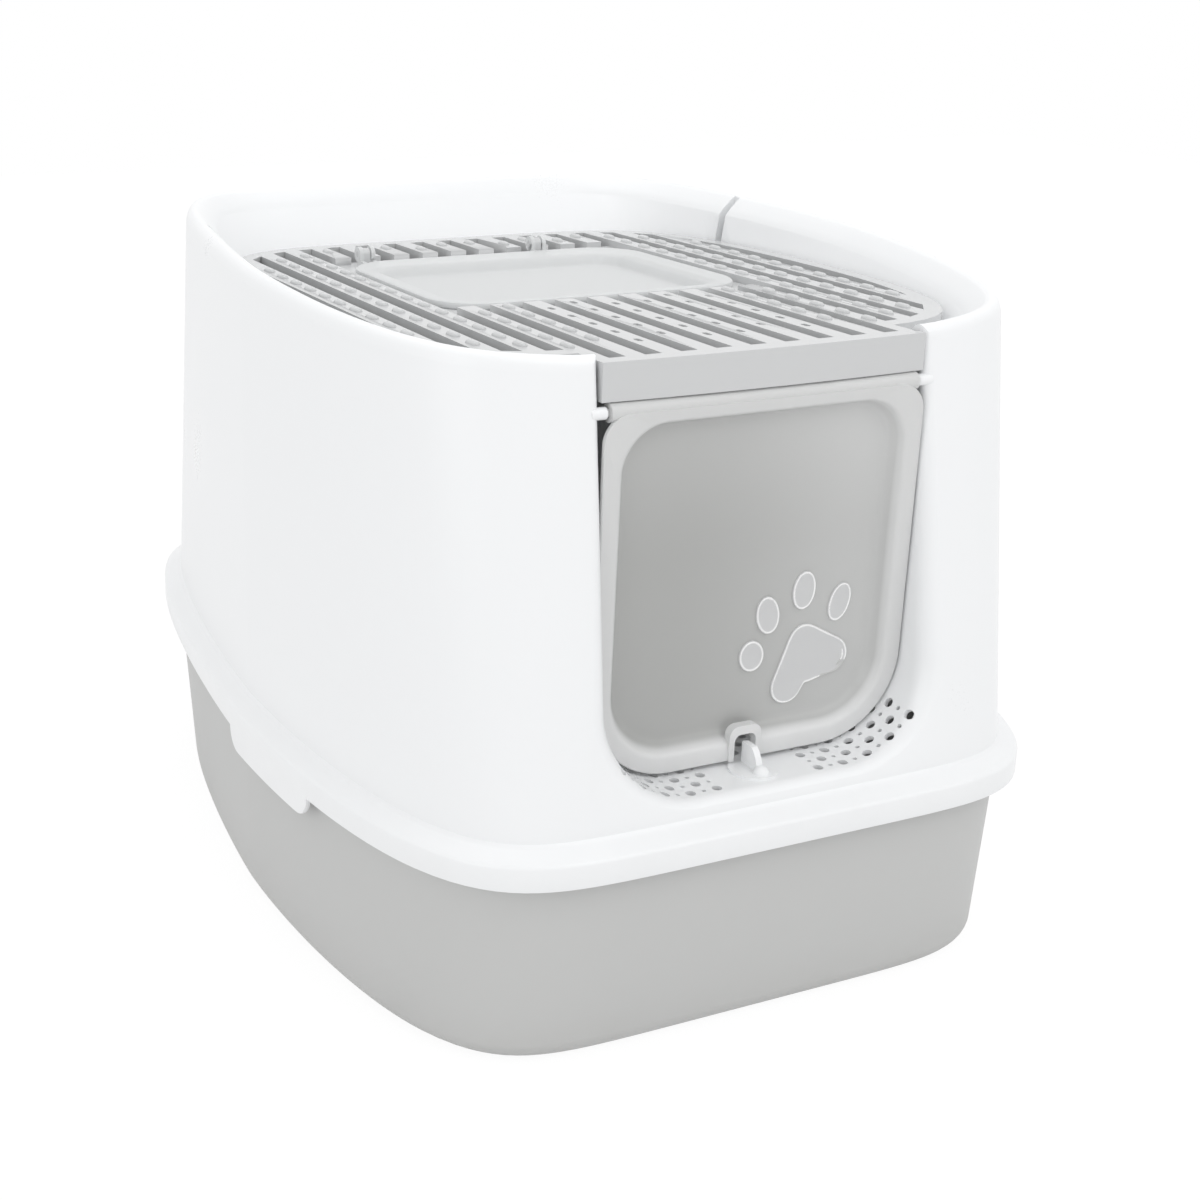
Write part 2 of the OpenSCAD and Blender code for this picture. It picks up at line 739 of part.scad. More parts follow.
module front_door() {
    h = door_w / 2;
    color([0.8, 0.805, 0.81, 0.8])
        difference() {
            union() {
                difference() {
                    union() {
                        upright(door_y, door_y + 3)
                            door_shape(0);
                        upright(door_y, door_back)
                            door_shape(6);
                    }
                    door_pan();
                }
                upright(door_back - 2 - paw_up, door_back - 1)
                    paw();
                upright(door_y - 1.2, door_y + 5)
                    soft_rect(latch_x - 9, door_bot, latch_x + 9, door_bot + 18, 3);
                translate([-h + 6, door_y + 1, hinge_z - 4])
                    cube([door_w - 12, 8, 4]);
                translate([0, hinge_y, hinge_z])
                    rotate([0, 90, 0])
                        cylinder(r = 4, h = door_w - 12, center = true);
                translate([0, hinge_y, hinge_z])
                    rotate([0, 90, 0])
                        cylinder(d = door_pin_d, h = door_open_w + 7, center = true);
            }
            translate([latch_x - 6, door_y - 3, door_bot - 1])
                cube([12, door_t + 4, 15]);
        }
}

module door_latch() {
    color([0.96, 0.96, 0.96])
        translate([latch_x, latch_y, sill_z])
            difference() {
                union() {
                    cylinder(d = latch_d, h = 1.2);
                    translate([0, 0, -wall - 3])
                        cylinder(d = 8, h = wall + 4);
                    translate([0, 0, -wall - 3])
                        cylinder(d = 9.6, h = 2.9);
                    translate([-1.65, 0, 1])
                        rotate([90, 0, 90])
                            linear_extrude(3.3)
                                intersection() {
                                    translate([8, 0])
                                        circle(13.5);
                                    translate([-5.5, 0])
                                        square([13.5, fin_h]);
                                }
                    intersection() {
                        translate([0, -6.5, 1])
                            sphere(d = 8);
                        translate([-6, -12, 0.5])
                            cube(12);
                    }
                }
                translate([-1, -6, -wall - 4])
                    cube([2, 12, wall + 3]);
            }
}

tray();
hood();
grille_lid();
top_flap();
front_door();
door_latch();
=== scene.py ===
"""Looks of a covered litter box: grey tray, white hood, slatted lid, milky flap and door."""

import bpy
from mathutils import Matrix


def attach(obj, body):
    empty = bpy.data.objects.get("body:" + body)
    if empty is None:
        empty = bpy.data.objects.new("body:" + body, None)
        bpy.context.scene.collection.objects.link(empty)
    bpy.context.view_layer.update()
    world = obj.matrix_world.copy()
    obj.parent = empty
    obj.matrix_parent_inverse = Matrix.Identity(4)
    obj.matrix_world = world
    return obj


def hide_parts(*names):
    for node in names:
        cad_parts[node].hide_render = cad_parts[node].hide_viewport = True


bl_info = {
    "name": "Covered litter box",
    "version": (1, 0, 0),
    "blender": (4, 5, 0),
    "location": "View3D > Sidebar > Litter box",
    "description": "Builds the finished plastic parts of a top entry litter box",
    "category": "Object",
}

import math

import bmesh
import bpy
from mathutils import Matrix, Vector

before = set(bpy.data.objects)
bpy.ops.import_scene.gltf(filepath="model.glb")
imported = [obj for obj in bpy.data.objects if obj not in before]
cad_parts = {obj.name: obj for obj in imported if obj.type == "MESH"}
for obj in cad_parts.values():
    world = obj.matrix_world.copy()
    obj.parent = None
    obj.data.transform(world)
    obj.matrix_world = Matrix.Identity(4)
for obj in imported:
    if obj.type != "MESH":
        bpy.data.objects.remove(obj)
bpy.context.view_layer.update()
PLASTIC_IOR = 1.47
SAG_DEPTH = 0.00018


def length(text, note, value, top=1.0):
    """A size in metres that the user may change."""
    return bpy.props.FloatProperty(
        name=text, description=note, default=value, min=0.0, max=top, unit="LENGTH", precision=4
    )


def colour(text, note, value):
    """A linear colour that the user may change."""
    return bpy.props.FloatVectorProperty(
        name=text, description=note, default=value, size=3, min=0.0, max=1.0, subtype="COLOR"
    )


def number(text, note, value, **limits):
    """A plain number that the user may change."""
    return bpy.props.FloatProperty(name=text, description=note, default=value, **limits)


class LitterBoxFinish(bpy.types.PropertyGroup):
    """Colours and edge sizes of the moulded parts."""

    tray_colour: colour("Tray", "Warm grey of the lower pan", (0.555, 0.558, 0.552))
    hood_colour: colour("Hood", "Cool white of the hood and the catch", (0.88, 0.89, 0.90))
    lid_colour: colour("Lid", "Light grey of the slatted lid", (0.600, 0.607, 0.612))
    milky_colour: colour("Flap", "Milky plastic of the flap", (0.66, 0.67, 0.665))
    # Door pan and door rim tones are painted shade and painted light: the dark inside and the white doorway
    # behind the door, put into its colour.
    painted_shade_colour: colour("Door pan", "Milky door where the dark inside shows through", (0.56, 0.565, 0.553))
    painted_light_colour: colour("Door rim", "Milky door where the white doorway lies behind it", (0.94, 0.945, 0.945))
    relief_colour: colour("Paw pads", "Thicker milky plastic of the paw relief", (0.80, 0.805, 0.81))
    # Paw edge tone is a painted highlight along the bead round the pads.
    painted_highlight_colour: colour("Paw edges", "Bright bead round the paw pads", (0.95, 0.95, 0.95))
    clearness: number("Clearness", "Share of light that passes the flap", 0.55, min=0, max=1)
    door_clearness: number("Door clearness", "Share of light that passes the door", 0.3, min=0, max=1)
    edge: length("Edge radius", "Rounding along moulded edges", 0.0006, 0.003)
    grain: length("Grain size", "Size of the moulded grain", 0.0011, 0.01)


class LitterBoxPlan(bpy.types.PropertyGroup):
    """Plan and heights of the tray and the hood, as packed."""

    half_width: length("Half width", "Half the width over the skirt", 0.2)
    front: length("Front length", "From the widest line to the front of the skirt", 0.22995)
    rear: length("Rear length", "From the widest line to the back of the skirt", 0.28105)
    wall: length("Wall", "Wall thickness", 0.0025, 0.01)
    skirt: length("Skirt height", "Lower edge of the skirt above the floor", 0.1)
    rim_back: length("Rim height", "Rim at the back above the floor", 0.354)
    rim_drop: length("Rim drop", "Fall of the rim from the back to the doorway", 0.021, 0.1)
    door_half: length("Doorway half width", "Half the width of the doorway", 0.088)
    door_corner: length("Doorway corner", "Corner radius at the foot of the doorway", 0.045)
    sill: length("Sill height", "Sill of the doorway above the floor", 0.126)


class LitterBoxNubs(bpy.types.PropertyGroup):
    """Rounded grip nubs on the slats of the lid."""

    width: length("Width", "Width of one nub across its slat", 0.0046, 0.01)
    long: length("Length", "Length of one nub along its slat", 0.0100, 0.02)
    height: length("Height", "Height of one nub above its slat", 0.0019, 0.004)
    pitch: length("Spacing", "Distance between nubs along a slat", 0.0213, 0.05)
    slat_pitch: length("Slat spacing", "Distance between slats", 0.0186, 0.05)


class LitterBoxStage(bpy.types.PropertyGroup):
    """Floor, lamps and camera."""

    azimuth: number("Azimuth", "Camera bearing from the front", math.radians(-24.32), subtype="ANGLE")
    elevation: number("Elevation", "Camera height angle", math.radians(18.48), subtype="ANGLE")
    roll: number("Roll", "Turn of the camera about its axis", math.radians(0.74), subtype="ANGLE")
    place: bpy.props.FloatVectorProperty(
        name="Place", description="Camera position", default=(-0.473, -0.8775, 0.508), subtype="TRANSLATION"
    )
    lens: number("Lens", "Focal length", 54.2, min=10, max=200)
    shift: bpy.props.FloatVectorProperty(
        name="Shift", description="Camera shift", default=(0.1477, -0.0565), size=2
    )
    floor_size: length("Floor", "Side of the floor sheet", 6.0, 20.0)
    sky: number("Sky", "Strength of the even white light", 0.78, min=0, max=5)


# --- shader node groups ---------------------------------------------------


def new_group(name, inputs, outputs):
    """A shader node group with named sockets, and its input and output nodes."""
    group = bpy.data.node_groups.new(name, "ShaderNodeTree")
    for label, kind, value in inputs:
        socket = group.interface.new_socket(label, in_out="INPUT", socket_type=kind)
        if value is not None:
            socket.default_value = value
    for label, kind in outputs:
        group.interface.new_socket(label, in_out="OUTPUT", socket_type=kind)
    start = group.nodes.new("NodeGroupInput")
    start.location = (-900, 0)
    end = group.nodes.new("NodeGroupOutput")
    end.location = (700, 0)
    return group, start, end


def feed(tree, node, values):
    """Gives a node its inputs, each a plain value or the socket of another node."""
    for key, value in values.items():
        if isinstance(value, bpy.types.NodeSocket):
            tree.links.new(value, node.inputs[key])
        else:
            node.inputs[key].default_value = value


def put(tree, kind, x, y, inputs=None, **settings):
    """A node at x, y with its settings and inputs."""
    node = tree.nodes.new(kind)
    node.location = (x, y)
    for key, value in settings.items():
        setattr(node, key, value)
    feed(tree, node, inputs or {})
    return node


def maths(tree, operation, x, y, *parts, clamp=False):
    """Result of a maths node whose inputs are numbers or sockets."""
    inputs = dict(enumerate(parts))
    return put(tree, "ShaderNodeMath", x, y, inputs, operation=operation, use_clamp=clamp).outputs[0]


def noise(tree, vector, scale, detail, x, y):
    """Noise texture read at a vector; scale may be a number or a socket."""
    inputs = {"Vector": vector, "Scale": scale, "Detail": detail, "Roughness": 0.55}
    return put(tree, "ShaderNodeTexNoise", x, y, inputs).outputs["Fac"]


def spread(tree, value, low, high, x, y):
    """Maps a value from 0.3 to 0.7 on the range low to high, each a number or a socket."""
    inputs = {"Value": value, "From Min": 0.3, "From Max": 0.7, "To Min": low, "To Max": high}
    return put(tree, "ShaderNodeMapRange", x, y, inputs).outputs["Result"]


def moulded_surface():
    """Injection-moulded skin: fine grain, long soft waves, and slow changes of tone and gloss."""
    found = bpy.data.node_groups.get("moulded_surface")
    if found:
        return found
    group, start, end = new_group(
        "moulded_surface",
        [
            ("Vector", "NodeSocketVector", None),
            ("Tone", "NodeSocketColor", (0.8, 0.8, 0.8, 1)),
            ("Tone Change", "NodeSocketFloat", 0.03),
            ("Grain Scale", "NodeSocketFloat", 900.0),
            ("Grain Depth", "NodeSocketFloat", 0.00002),
            ("Smooth Gloss", "NodeSocketFloat", 0.3),
            ("Rough Gloss", "NodeSocketFloat", 0.42),
        ],
        [("Color", "NodeSocketColor"), ("Roughness", "NodeSocketFloat"), ("Height", "NodeSocketFloat")],
    )
    tree, out = group, start.outputs
    slow = noise(tree, out["Vector"], 9.0, 3.0, -650, 250)
    fine = noise(tree, out["Vector"], out["Grain Scale"], 2.0, -650, -50)
    wave = noise(tree, out["Vector"], 22.0, 1.0, -650, -300)
    centred = maths(tree, "SUBTRACT", -480, 320, slow, 0.5)
    shade = maths(tree, "MULTIPLY_ADD", -300, 320, centred, out["Tone Change"], 1.0)
    tone = put(tree, "ShaderNodeVectorMath", 0, 250, operation="SCALE")
    feed(tree, tone, {0: out["Tone"], "Scale": shade})
    mixed = maths(tree, "MULTIPLY_ADD", -300, 60, fine, 0.35, slow)
    limits = {"From Min": 0.45, "From Max": 0.9, "To Min": out["Smooth Gloss"], "To Max": out["Rough Gloss"]}
    gloss = put(tree, "ShaderNodeMapRange", 0, 60, {"Value": mixed, **limits})
    grain = maths(tree, "MULTIPLY", -100, -150, fine, out["Grain Depth"])
    sag = maths(tree, "MULTIPLY", -100, -320, wave, SAG_DEPTH)
    total = maths(tree, "ADD", 150, -200, grain, sag)
    feed(tree, end, {"Color": tone.outputs[0], "Roughness": gloss.outputs["Result"], "Height": total})
    return group


def dust_shadow():
    """Soft grey film that darkens towards the floor and in patches: dust and painted shade."""
    found = bpy.data.node_groups.get("dust_shadow")
    if found:
        return found
    group, start, end = new_group(
        "dust_shadow",
        [
            ("Vector", "NodeSocketVector", None),
            ("Color", "NodeSocketColor", (0.8, 0.8, 0.8, 1)),
            ("Dust And Shade", "NodeSocketColor", (0.45, 0.44, 0.42, 1)),
            ("Low Edge", "NodeSocketFloat", 0.0),
            ("High Edge", "NodeSocketFloat", 0.05),
            ("Amount", "NodeSocketFloat", 0.15),
        ],
        [("Color", "NodeSocketColor"), ("Mask", "NodeSocketFloat")],
    )
    tree, out = group, start.outputs
    split = put(tree, "ShaderNodeSeparateXYZ", -650, 100, {0: out["Vector"]})
    limits = {"From Min": out["Low Edge"], "From Max": out["High Edge"], "To Min": 1.0, "To Max": 0.0}
    ramp = put(tree, "ShaderNodeMapRange", -450, 100, interpolation_type="SMOOTHSTEP")
    feed(tree, ramp, {"Value": split.outputs["Z"], **limits})
    patch = spread(tree, noise(tree, out["Vector"], 38.0, 4.0, -650, -200), 0.3, 1.0, -450, -200)
    both = maths(tree, "MULTIPLY", -200, 0, ramp.outputs["Result"], patch)
    mask = maths(tree, "MULTIPLY", 0, 0, both, out["Amount"])
    mix = put(tree, "ShaderNodeMix", 250, 100, data_type="RGBA")
    feed(tree, mix, {"Factor": mask, "A": out["Color"], "B": out["Dust And Shade"]})
    feed(tree, end, {"Color": mix.outputs["Result"], "Mask": mask})
    return group


def painted_light_tint():
    """Painted shade and painted light on a milky pan: painted shade on its floor for the dark inside, painted
    light on its rim for the white doorway behind, and lighter towards the lit side and the head.
    """
    found = bpy.data.node_groups.get("painted_light_tint")
    if found:
        return found
    group, start, end = new_group(
        "painted_light_tint",
        [
            ("Vector", "NodeSocketVector", None),
            ("Deep", "NodeSocketColor", (0.4, 0.4, 0.4, 1)),
            ("Rim", "NodeSocketColor", (0.7, 0.7, 0.7, 1)),
            ("Rim Depth", "NodeSocketFloat", -0.2135),
            ("Floor Depth", "NodeSocketFloat", -0.2085),
            ("Side Share", "NodeSocketFloat", 0.42),
        ],
        [("Color", "NodeSocketColor"), ("Mask", "NodeSocketFloat")],
    )
    tree, out = group, start.outputs
    split = put(tree, "ShaderNodeSeparateXYZ", -750, 0, {0: out["Vector"]})

    def ramp(axis, low, high, first, last, y):
        node = put(tree, "ShaderNodeMapRange", -550, y, interpolation_type="SMOOTHSTEP")
        limits = {"From Min": low, "From Max": high, "To Min": first, "To Max": last}
        feed(tree, node, {"Value": split.outputs[axis], **limits})
        return node.outputs["Result"]

    def held(operation, a, b, x, y):
        return maths(tree, operation, x, y, a, b, clamp=True)

    # Painted shade on the pan floor, painted light on its rim, and painted light towards the lit side and the
    # head.
    rim = ramp("Y", out["Rim Depth"], out["Floor Depth"], 1.0, 0.0, 250)
    side = ramp("X", -0.045, 0.088, 0.0, 1.0, 0)
    foot = ramp("Z", 0.134, 0.170, 1.0, 0.0, -250)
    head = ramp("Z", 0.230, 0.305, 0.0, 0.25, -500)
    share = held("ADD", held("MULTIPLY", foot, 0.2, -150, -100), 0.8, 0, -100)
    edge = held("MULTIPLY", rim, share, 150, 100)
    painted_light = held("ADD", held("MULTIPLY", side, out["Side Share"], -150, 250), head, 0, 250)
    mask = held("MAXIMUM", edge, painted_light, 300, 200)
    mix = put(tree, "ShaderNodeMix", 450, 100, data_type="RGBA")
    feed(tree, mix, {"Factor": mask, "A": out["Deep"], "B": out["Rim"]})
    feed(tree, end, {"Color": mix.outputs["Result"], "Mask": mask})
    return group


def plastic(name, tone, change=0.03, gloss=(0.3, 0.42), depth=0.00002, dust_and_shade=(0.0, 0.05, 0.12), clear=0.0):
    """Material of one moulded plastic, milky when clear is above zero."""
    found = bpy.data.materials.get(name)
    if found:
        return found
    look = bpy.context.scene.litter_box_finish
    material = bpy.data.materials.new(name)
    material.use_nodes = True
    material.diffuse_color = (*tone, 1)
    tree = material.node_tree
    tree.nodes.clear()
    place = put(tree, "ShaderNodeTexCoord", -900, 0).outputs["Object"]
    skin = put(tree, "ShaderNodeGroup", -400, 0, node_tree=moulded_surface())
    feed(tree, skin, {"Vector": place, "Tone": (*tone, 1), "Tone Change": change, "Grain Depth": depth})
    feed(tree, skin, {"Grain Scale": 1.0 / max(look.grain, 0.0001)})
    feed(tree, skin, {"Smooth Gloss": gloss[0], "Rough Gloss": gloss[1]})
    film = put(tree, "ShaderNodeGroup", -100, 200, node_tree=dust_shadow())
    feed(tree, film, {"Vector": place, "Color": skin.outputs["Color"]})
    feed(tree, film, {"Low Edge": dust_and_shade[0], "High Edge": dust_and_shade[1], "Amount": dust_and_shade[2]})
    bump = put(tree, "ShaderNodeBump", 50, -250, {"Distance": 1.0, "Strength": 0.6})
    feed(tree, bump, {"Height": skin.outputs["Height"]})
    body = put(tree, "ShaderNodeBsdfPrincipled", 300, 0, {"IOR": PLASTIC_IOR, "Transmission Weight": clear})
    feed(tree, body, {"Base Color": film.outputs["Color"], "Roughness": skin.outputs["Roughness"]})
    feed(tree, body, {"Normal": bump.outputs[0]})
    put(tree, "ShaderNodeOutputMaterial", 600, 0, {"Surface": body.outputs[0]})
    return material


def milky_plastic(look):
    """Cloudy plastic of the flap, which lets some light through."""
    dust_and_shade = (0.0, 0.02, 0.0)
    return plastic("milky_plastic", look.milky_colour, 0.03, (0.36, 0.46), 0.00002, dust_and_shade, look.clearness)


def door_plastic(look):
    """Milky plastic of the door, with painted shade and painted light in its colour for what lies behind each
    part of it.
    """
    dust_and_shade = (0.0, 0.02, 0.0)
    material = plastic("milky_door", look.painted_shade_colour, 0.03, (0.34, 0.44), 0.00002, dust_and_shade, look.door_clearness)
    tree = material.node_tree
    if "painted_light_tint" in tree.nodes:
        return material
    # Painted shade and painted light tie the door's tone to places on the door.
    tint = put(tree, "ShaderNodeGroup", -650, 250, node_tree=painted_light_tint())
    tint.name = "painted_light_tint"
    feed(tree, tint, {"Deep": (*look.painted_shade_colour, 1), "Rim": (*look.painted_light_colour, 1)})
    place = next(node for node in tree.nodes if node.type == "TEX_COORD")
    skin = next(node for node in tree.nodes if node.type == "GROUP" and "Tone" in node.inputs)
    tree.links.new(place.outputs["Object"], tint.inputs["Vector"])
    tree.links.new(tint.outputs["Color"], skin.inputs["Tone"])
    return material


# --- meshes ----------------------------------------------------------------


def new_piece(name, mesh, body, slot, material, *nodes):
    """Object for a finished mesh that stands for its nodes and moves with a body."""
    piece = bpy.data.objects.new(name, mesh)
    bpy.context.scene.collection.objects.link(piece)
    mesh.materials.clear()
    mesh.materials.append(material)
    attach(piece, body)
    if nodes:
        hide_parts(*nodes)
    return piece


def joined_copy(node, name):
    """Copy of a node's mesh with its corners joined and its flat faces merged."""
    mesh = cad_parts[node].data.copy()
    mesh.name = name
    work = bmesh.new()
    work.from_mesh(mesh)
    bmesh.ops.remove_doubles(work, verts=work.verts, dist=2e-6)
    bmesh.ops.dissolve_limit(
        work, angle_limit=math.radians(0.3), verts=work.verts, edges=work.edges, use_dissolve_boundaries=False
    )
    work.to_mesh(mesh)
    work.free()
    for layer in list(mesh.uv_layers):
        mesh.uv_layers.remove(layer)
    return mesh


def soften(mesh, angle):
    """Smooth shading that stays crisp at edges sharper than an angle in degrees."""
    mesh.shade_smooth()
    mesh.set_sharp_from_angle(angle=math.radians(angle))


def round_edges(piece, width, angle=38, steps=2):
    """Bevel along the sharp edges of a piece."""
    bevel = piece.modifiers.new("moulded edge", "BEVEL")
    bevel.width = width
    bevel.segments = steps
    bevel.limit_method = "ANGLE"
    bevel.angle_limit = math.radians(angle)
    bevel.harden_normals = False
    bevel.use_clamp_overlap = True
    return bevel


# --- lofted shells ----------------------------------------------------------

HULL = {"front": (7.0, 1.8), "rear": (8.5, 1.28)}
SEAT = {"front": (6.0, 2.2), "rear": (6.0, 2.8)}
SPLIT = 0.86
FRONT_STEPS, SIDE_STEPS = 20, 44
LEAN_FRONT, LEAN_REAR, LEAN_SIDE = 0.045, 0.055, 0.010
SEAT_INSET = (0.0345, 0.065, 0.103)
TILT = math.radians(1.0)
LID_SLOPE = math.tan(TILT)
LID_FRONT, LID_HEIGHT, LID_DEPTH = -0.2105, 0.330, 0.010
PIN_Y, PIN_WIDTH = 0.079563, 0.0091
CATCH = (-0.002, -0.2245)
DOOR_PIN = (-0.2105, 0.3075)
DOOR_FLOOR = -0.2075
BOSS_RADIUS = 0.0029
SLOT_DEPTH, SLOT_HALF, SLOT_TOP = 0.0162, 0.0027, 0.06
PAD_ROWS = ((0, -0.6), (0, 0.45), (0.2, 0.85), (0.55, 1.1), (0.95, 1.05), (1.25, 0.85), (1.5, 0.8))
PAD_STEPS = 120
FLAP_HALF, FLAP_Y, FLAP_CORNER = 0.092, (-0.061437, 0.086563), 0.030
FLAP_EARS, FLAP_PIN = (-0.0744, 0.0372), (0.091063, 0.0035)


def quarter(power_x, power_y):
    """Unit outline of one quarter of the plan, from the centre line to the side."""
    rise = (1 - SPLIT**power_x) ** (1 / power_y)
    points = []
    for i in range(1, FRONT_STEPS):
        x = SPLIT * (i / FRONT_STEPS) ** 0.55
        points.append((x, (1 - x**power_x) ** (1 / power_y)))
    for j in range(SIDE_STEPS):
        y = rise * (1 - j / SIDE_STEPS) ** 1.25
        points.append(((1 - y**power_y) ** (1 / power_x), y))
    return points


def unit_outline(shape):
    """Whole unit outline, anticlockwise from the middle of the front."""
    front, rear = quarter(*shape["front"]), quarter(*shape["rear"])
    return (
        [(x, -y) for x, y in front]
        + [(1.0, 0.0)]
        + rear[::-1]
        + [(-x, y) for x, y in rear]
        + [(-1.0, 0.0)]
        + [(-x, -y) for x, y in front[::-1]]
    )


class Shell:
    """Plan and rim of the box, from which every shell station takes its ring of points."""

    def __init__(self, plan):
        self.plan = plan
        self.middle = plan.front - (plan.front + plan.rear) / 2
        self.units = {"hull": unit_outline(HULL), "seat": unit_outline(SEAT)}

    def point(self, unit, shape, side, front, rear, inset):
        """One plan point: insets at the side, front and rear, then an even inset."""
        ux, uy = unit
        a = self.plan.half_width - side
        b = self.plan.front - front if uy < 0 else self.plan.rear - rear
        m, n = shape["front"] if uy < 0 else shape["rear"]
        gx = math.copysign(m * abs(ux) ** (m - 1) / a, ux)
        gy = math.copysign(n * abs(uy) ** (n - 1) / b, uy) if uy else 0.0
        size = math.hypot(gx, gy)
        return a * ux - inset * gx / size, self.middle + b * uy - inset * gy / size

    def rim(self, x, y):
        """Height of the rim above the floor at one plan point."""
        bearing = math.degrees(math.atan2(abs(x), -(y - self.middle)))
        return self.plan.rim_back - self.plan.rim_drop * min(1.0, (180 - bearing) / 152) ** 2.35

    def lid_plane(self, y):
        """Height of the slat tops at one depth."""
        return LID_HEIGHT - LID_SLOPE * (y - LID_FRONT)

    def ring(self, station):
        """Ring of points for (side, front, rear, inset, kind, height)."""
        side, front, rear, inset, kind, height = station
        seat = kind in ("lid", "ledge")
        shape = SEAT if seat else HULL
        ring = []
        for unit in self.units["seat" if seat else "hull"]:
            gap = inset
            if kind == "ledge" and self.point(unit, shape, side, front, rear, 0)[1] > PIN_Y - 0.012:
                gap = 0.0004
            x, y = self.point(unit, shape, side, front, rear, gap)
            base = {"floor": 0.0, "rim": self.rim(x, y)}.get(kind, self.lid_plane(y))
            ring.append((x, y, base + height))
        return ring

    def loft(self, name, stations, closed):
        """Mesh through every station, closed round the wall or with flat ends."""
        rings = [self.ring(s) for s in stations]
        return loft(name, rings, closed)

    def wall_depth(self, x, z):
        """Depth of the front wall at one point of the doorway."""
        shoulder = self.plan.skirt + 0.0175
        start = self.middle - self.plan.front
        top = self.plan.rim_back - self.plan.rim_drop - 0.007
        lean = 0.010 + (z - shoulder) * (LEAN_FRONT - 0.010) / (top - shoulder)
        share = min(0.9, abs(x) / (self.plan.half_width - 0.010))
        m, n = HULL["front"]
        return start + lean + (self.plan.front - LEAN_FRONT) * (1 - (1 - share**m) ** (1 / n))


def loft(name, rings, closed):
    """Mesh of quads through rings of equal length."""
    count, n = len(rings), len(rings[0])
    points = [v for ring in rings for v in ring]
    faces = []
    for i in range(count if closed else count - 1):
        j = (i + 1) % count
        for k in range(n):
            m = (k + 1) % n
            faces.append((i * n + k, i * n + m, j * n + m, j * n + k))
    if not closed:
        faces.append(tuple(range(n - 1, -1, -1)))
        faces.append(tuple((count - 1) * n + k for k in range(n)))
    mesh = bpy.data.meshes.new(name)
    mesh.from_pydata(points, [], faces)
    mesh.validate()
    face_out(mesh)
    return mesh


def face_out(mesh):
    """Turns a closed mesh so that its faces point outwards."""
    work = bmesh.new()
    work.from_mesh(mesh)
    if work.calc_volume(signed=True) < 0:
        bmesh.ops.reverse_faces(work, faces=work.faces)
    work.to_mesh(mesh)
    work.free()


def rounded(points, steps):
    """Smooth curve of rows through rows of numbers, with steps between each pair."""
    out = []
    for i in range(len(points) - 1):
        a, b = points[max(i - 1, 0)], points[i]
        c, d = points[i + 1], points[min(i + 2, len(points) - 1)]
        for s in range(steps):
            t = s / steps
            row = []
            for p, q, r, u in zip(a, b, c, d):
                bend, twist = 2 * p - 5 * q + 4 * r - u, 3 * q - p - 3 * r + u
                turn = 2 * q + (r - p) * t + bend * t**2 + twist * t**3
                row.append(turn / 2)
            out.append(tuple(row))
    out.append(points[-1])
    return out


def loose(mesh):
    """Scene object for a mesh that is only used to shape another."""
    item = bpy.data.objects.new(mesh.name, mesh)
    bpy.context.scene.collection.objects.link(item)
    return item


def combined(base, other, operation):
    """Result of a solid union, difference or intersection; both inputs are used up."""
    change = base.modifiers.new(operation.lower(), "BOOLEAN")
    change.operation = operation
    change.object = other
    change.solver = "EXACT"
    view = bpy.context.evaluated_depsgraph_get()
    mesh = bpy.data.meshes.new_from_object(base.evaluated_get(view))
    mesh.name = base.name
    for item in (base, other):
        old = item.data
        bpy.data.objects.remove(item)
        bpy.data.meshes.remove(old)
    return loose(mesh)


def taken(shape, angle):
    """Mesh of a finished shape, whose object is removed, smooth up to an angle in degrees."""
    mesh = shape.data
    bpy.data.objects.remove(shape)
    soften(mesh, angle)
    return mesh


def block(name, low, high):
    """Box-shaped cutter between two corners."""
    (a, b, c), (d, e, f) = low, high
    rings = [[(a, b, z), (d, b, z), (d, e, z), (a, e, z)] for z in (c, f)]
    return loose(loft(name, rings, False))


def rod(name, centre, axis, radius, long, sides=48):
    """Round cutter or pin along X or Z."""
    rings = []
    for end in (-long / 2, long / 2):
        ring = []
        for i in range(sides):
            turn = 2 * math.pi * i / sides
            a, b = radius * math.cos(turn), radius * math.sin(turn)
            x, y, z = centre
            ring.append((x + end, y + a, z + b) if axis == "X" else (x + a, y + b, z + end))
        rings.append(ring)
    return loose(loft(name, rings, False))


def on_lid(x, y, height):
    """Place of a point given along, across and above the tilted lid."""
    along = y - LID_FRONT
    cos, sin = math.cos(TILT), math.sin(TILT)
    return x, LID_FRONT + along * cos + height * sin, LID_HEIGHT - along * sin + height * cos


def corner_ring(half, low, high, low_r, high_r, steps=14):
    """Rectangle with rounded corners, anticlockwise from its lower left corner."""
    ring = []
    for x, y, radius, start in (
        (-half + low_r, low + low_r, low_r, 180),
        (half - low_r, low + low_r, low_r, 270),
        (half - high_r, high - high_r, high_r, 0),
        (-half + high_r, high - high_r, high_r, 90),
    ):
        for i in range(steps + 1):
            turn = math.radians(start + 90 * i / steps)
            ring.append((x + radius * math.cos(turn), y + radius * math.sin(turn)))
    return ring


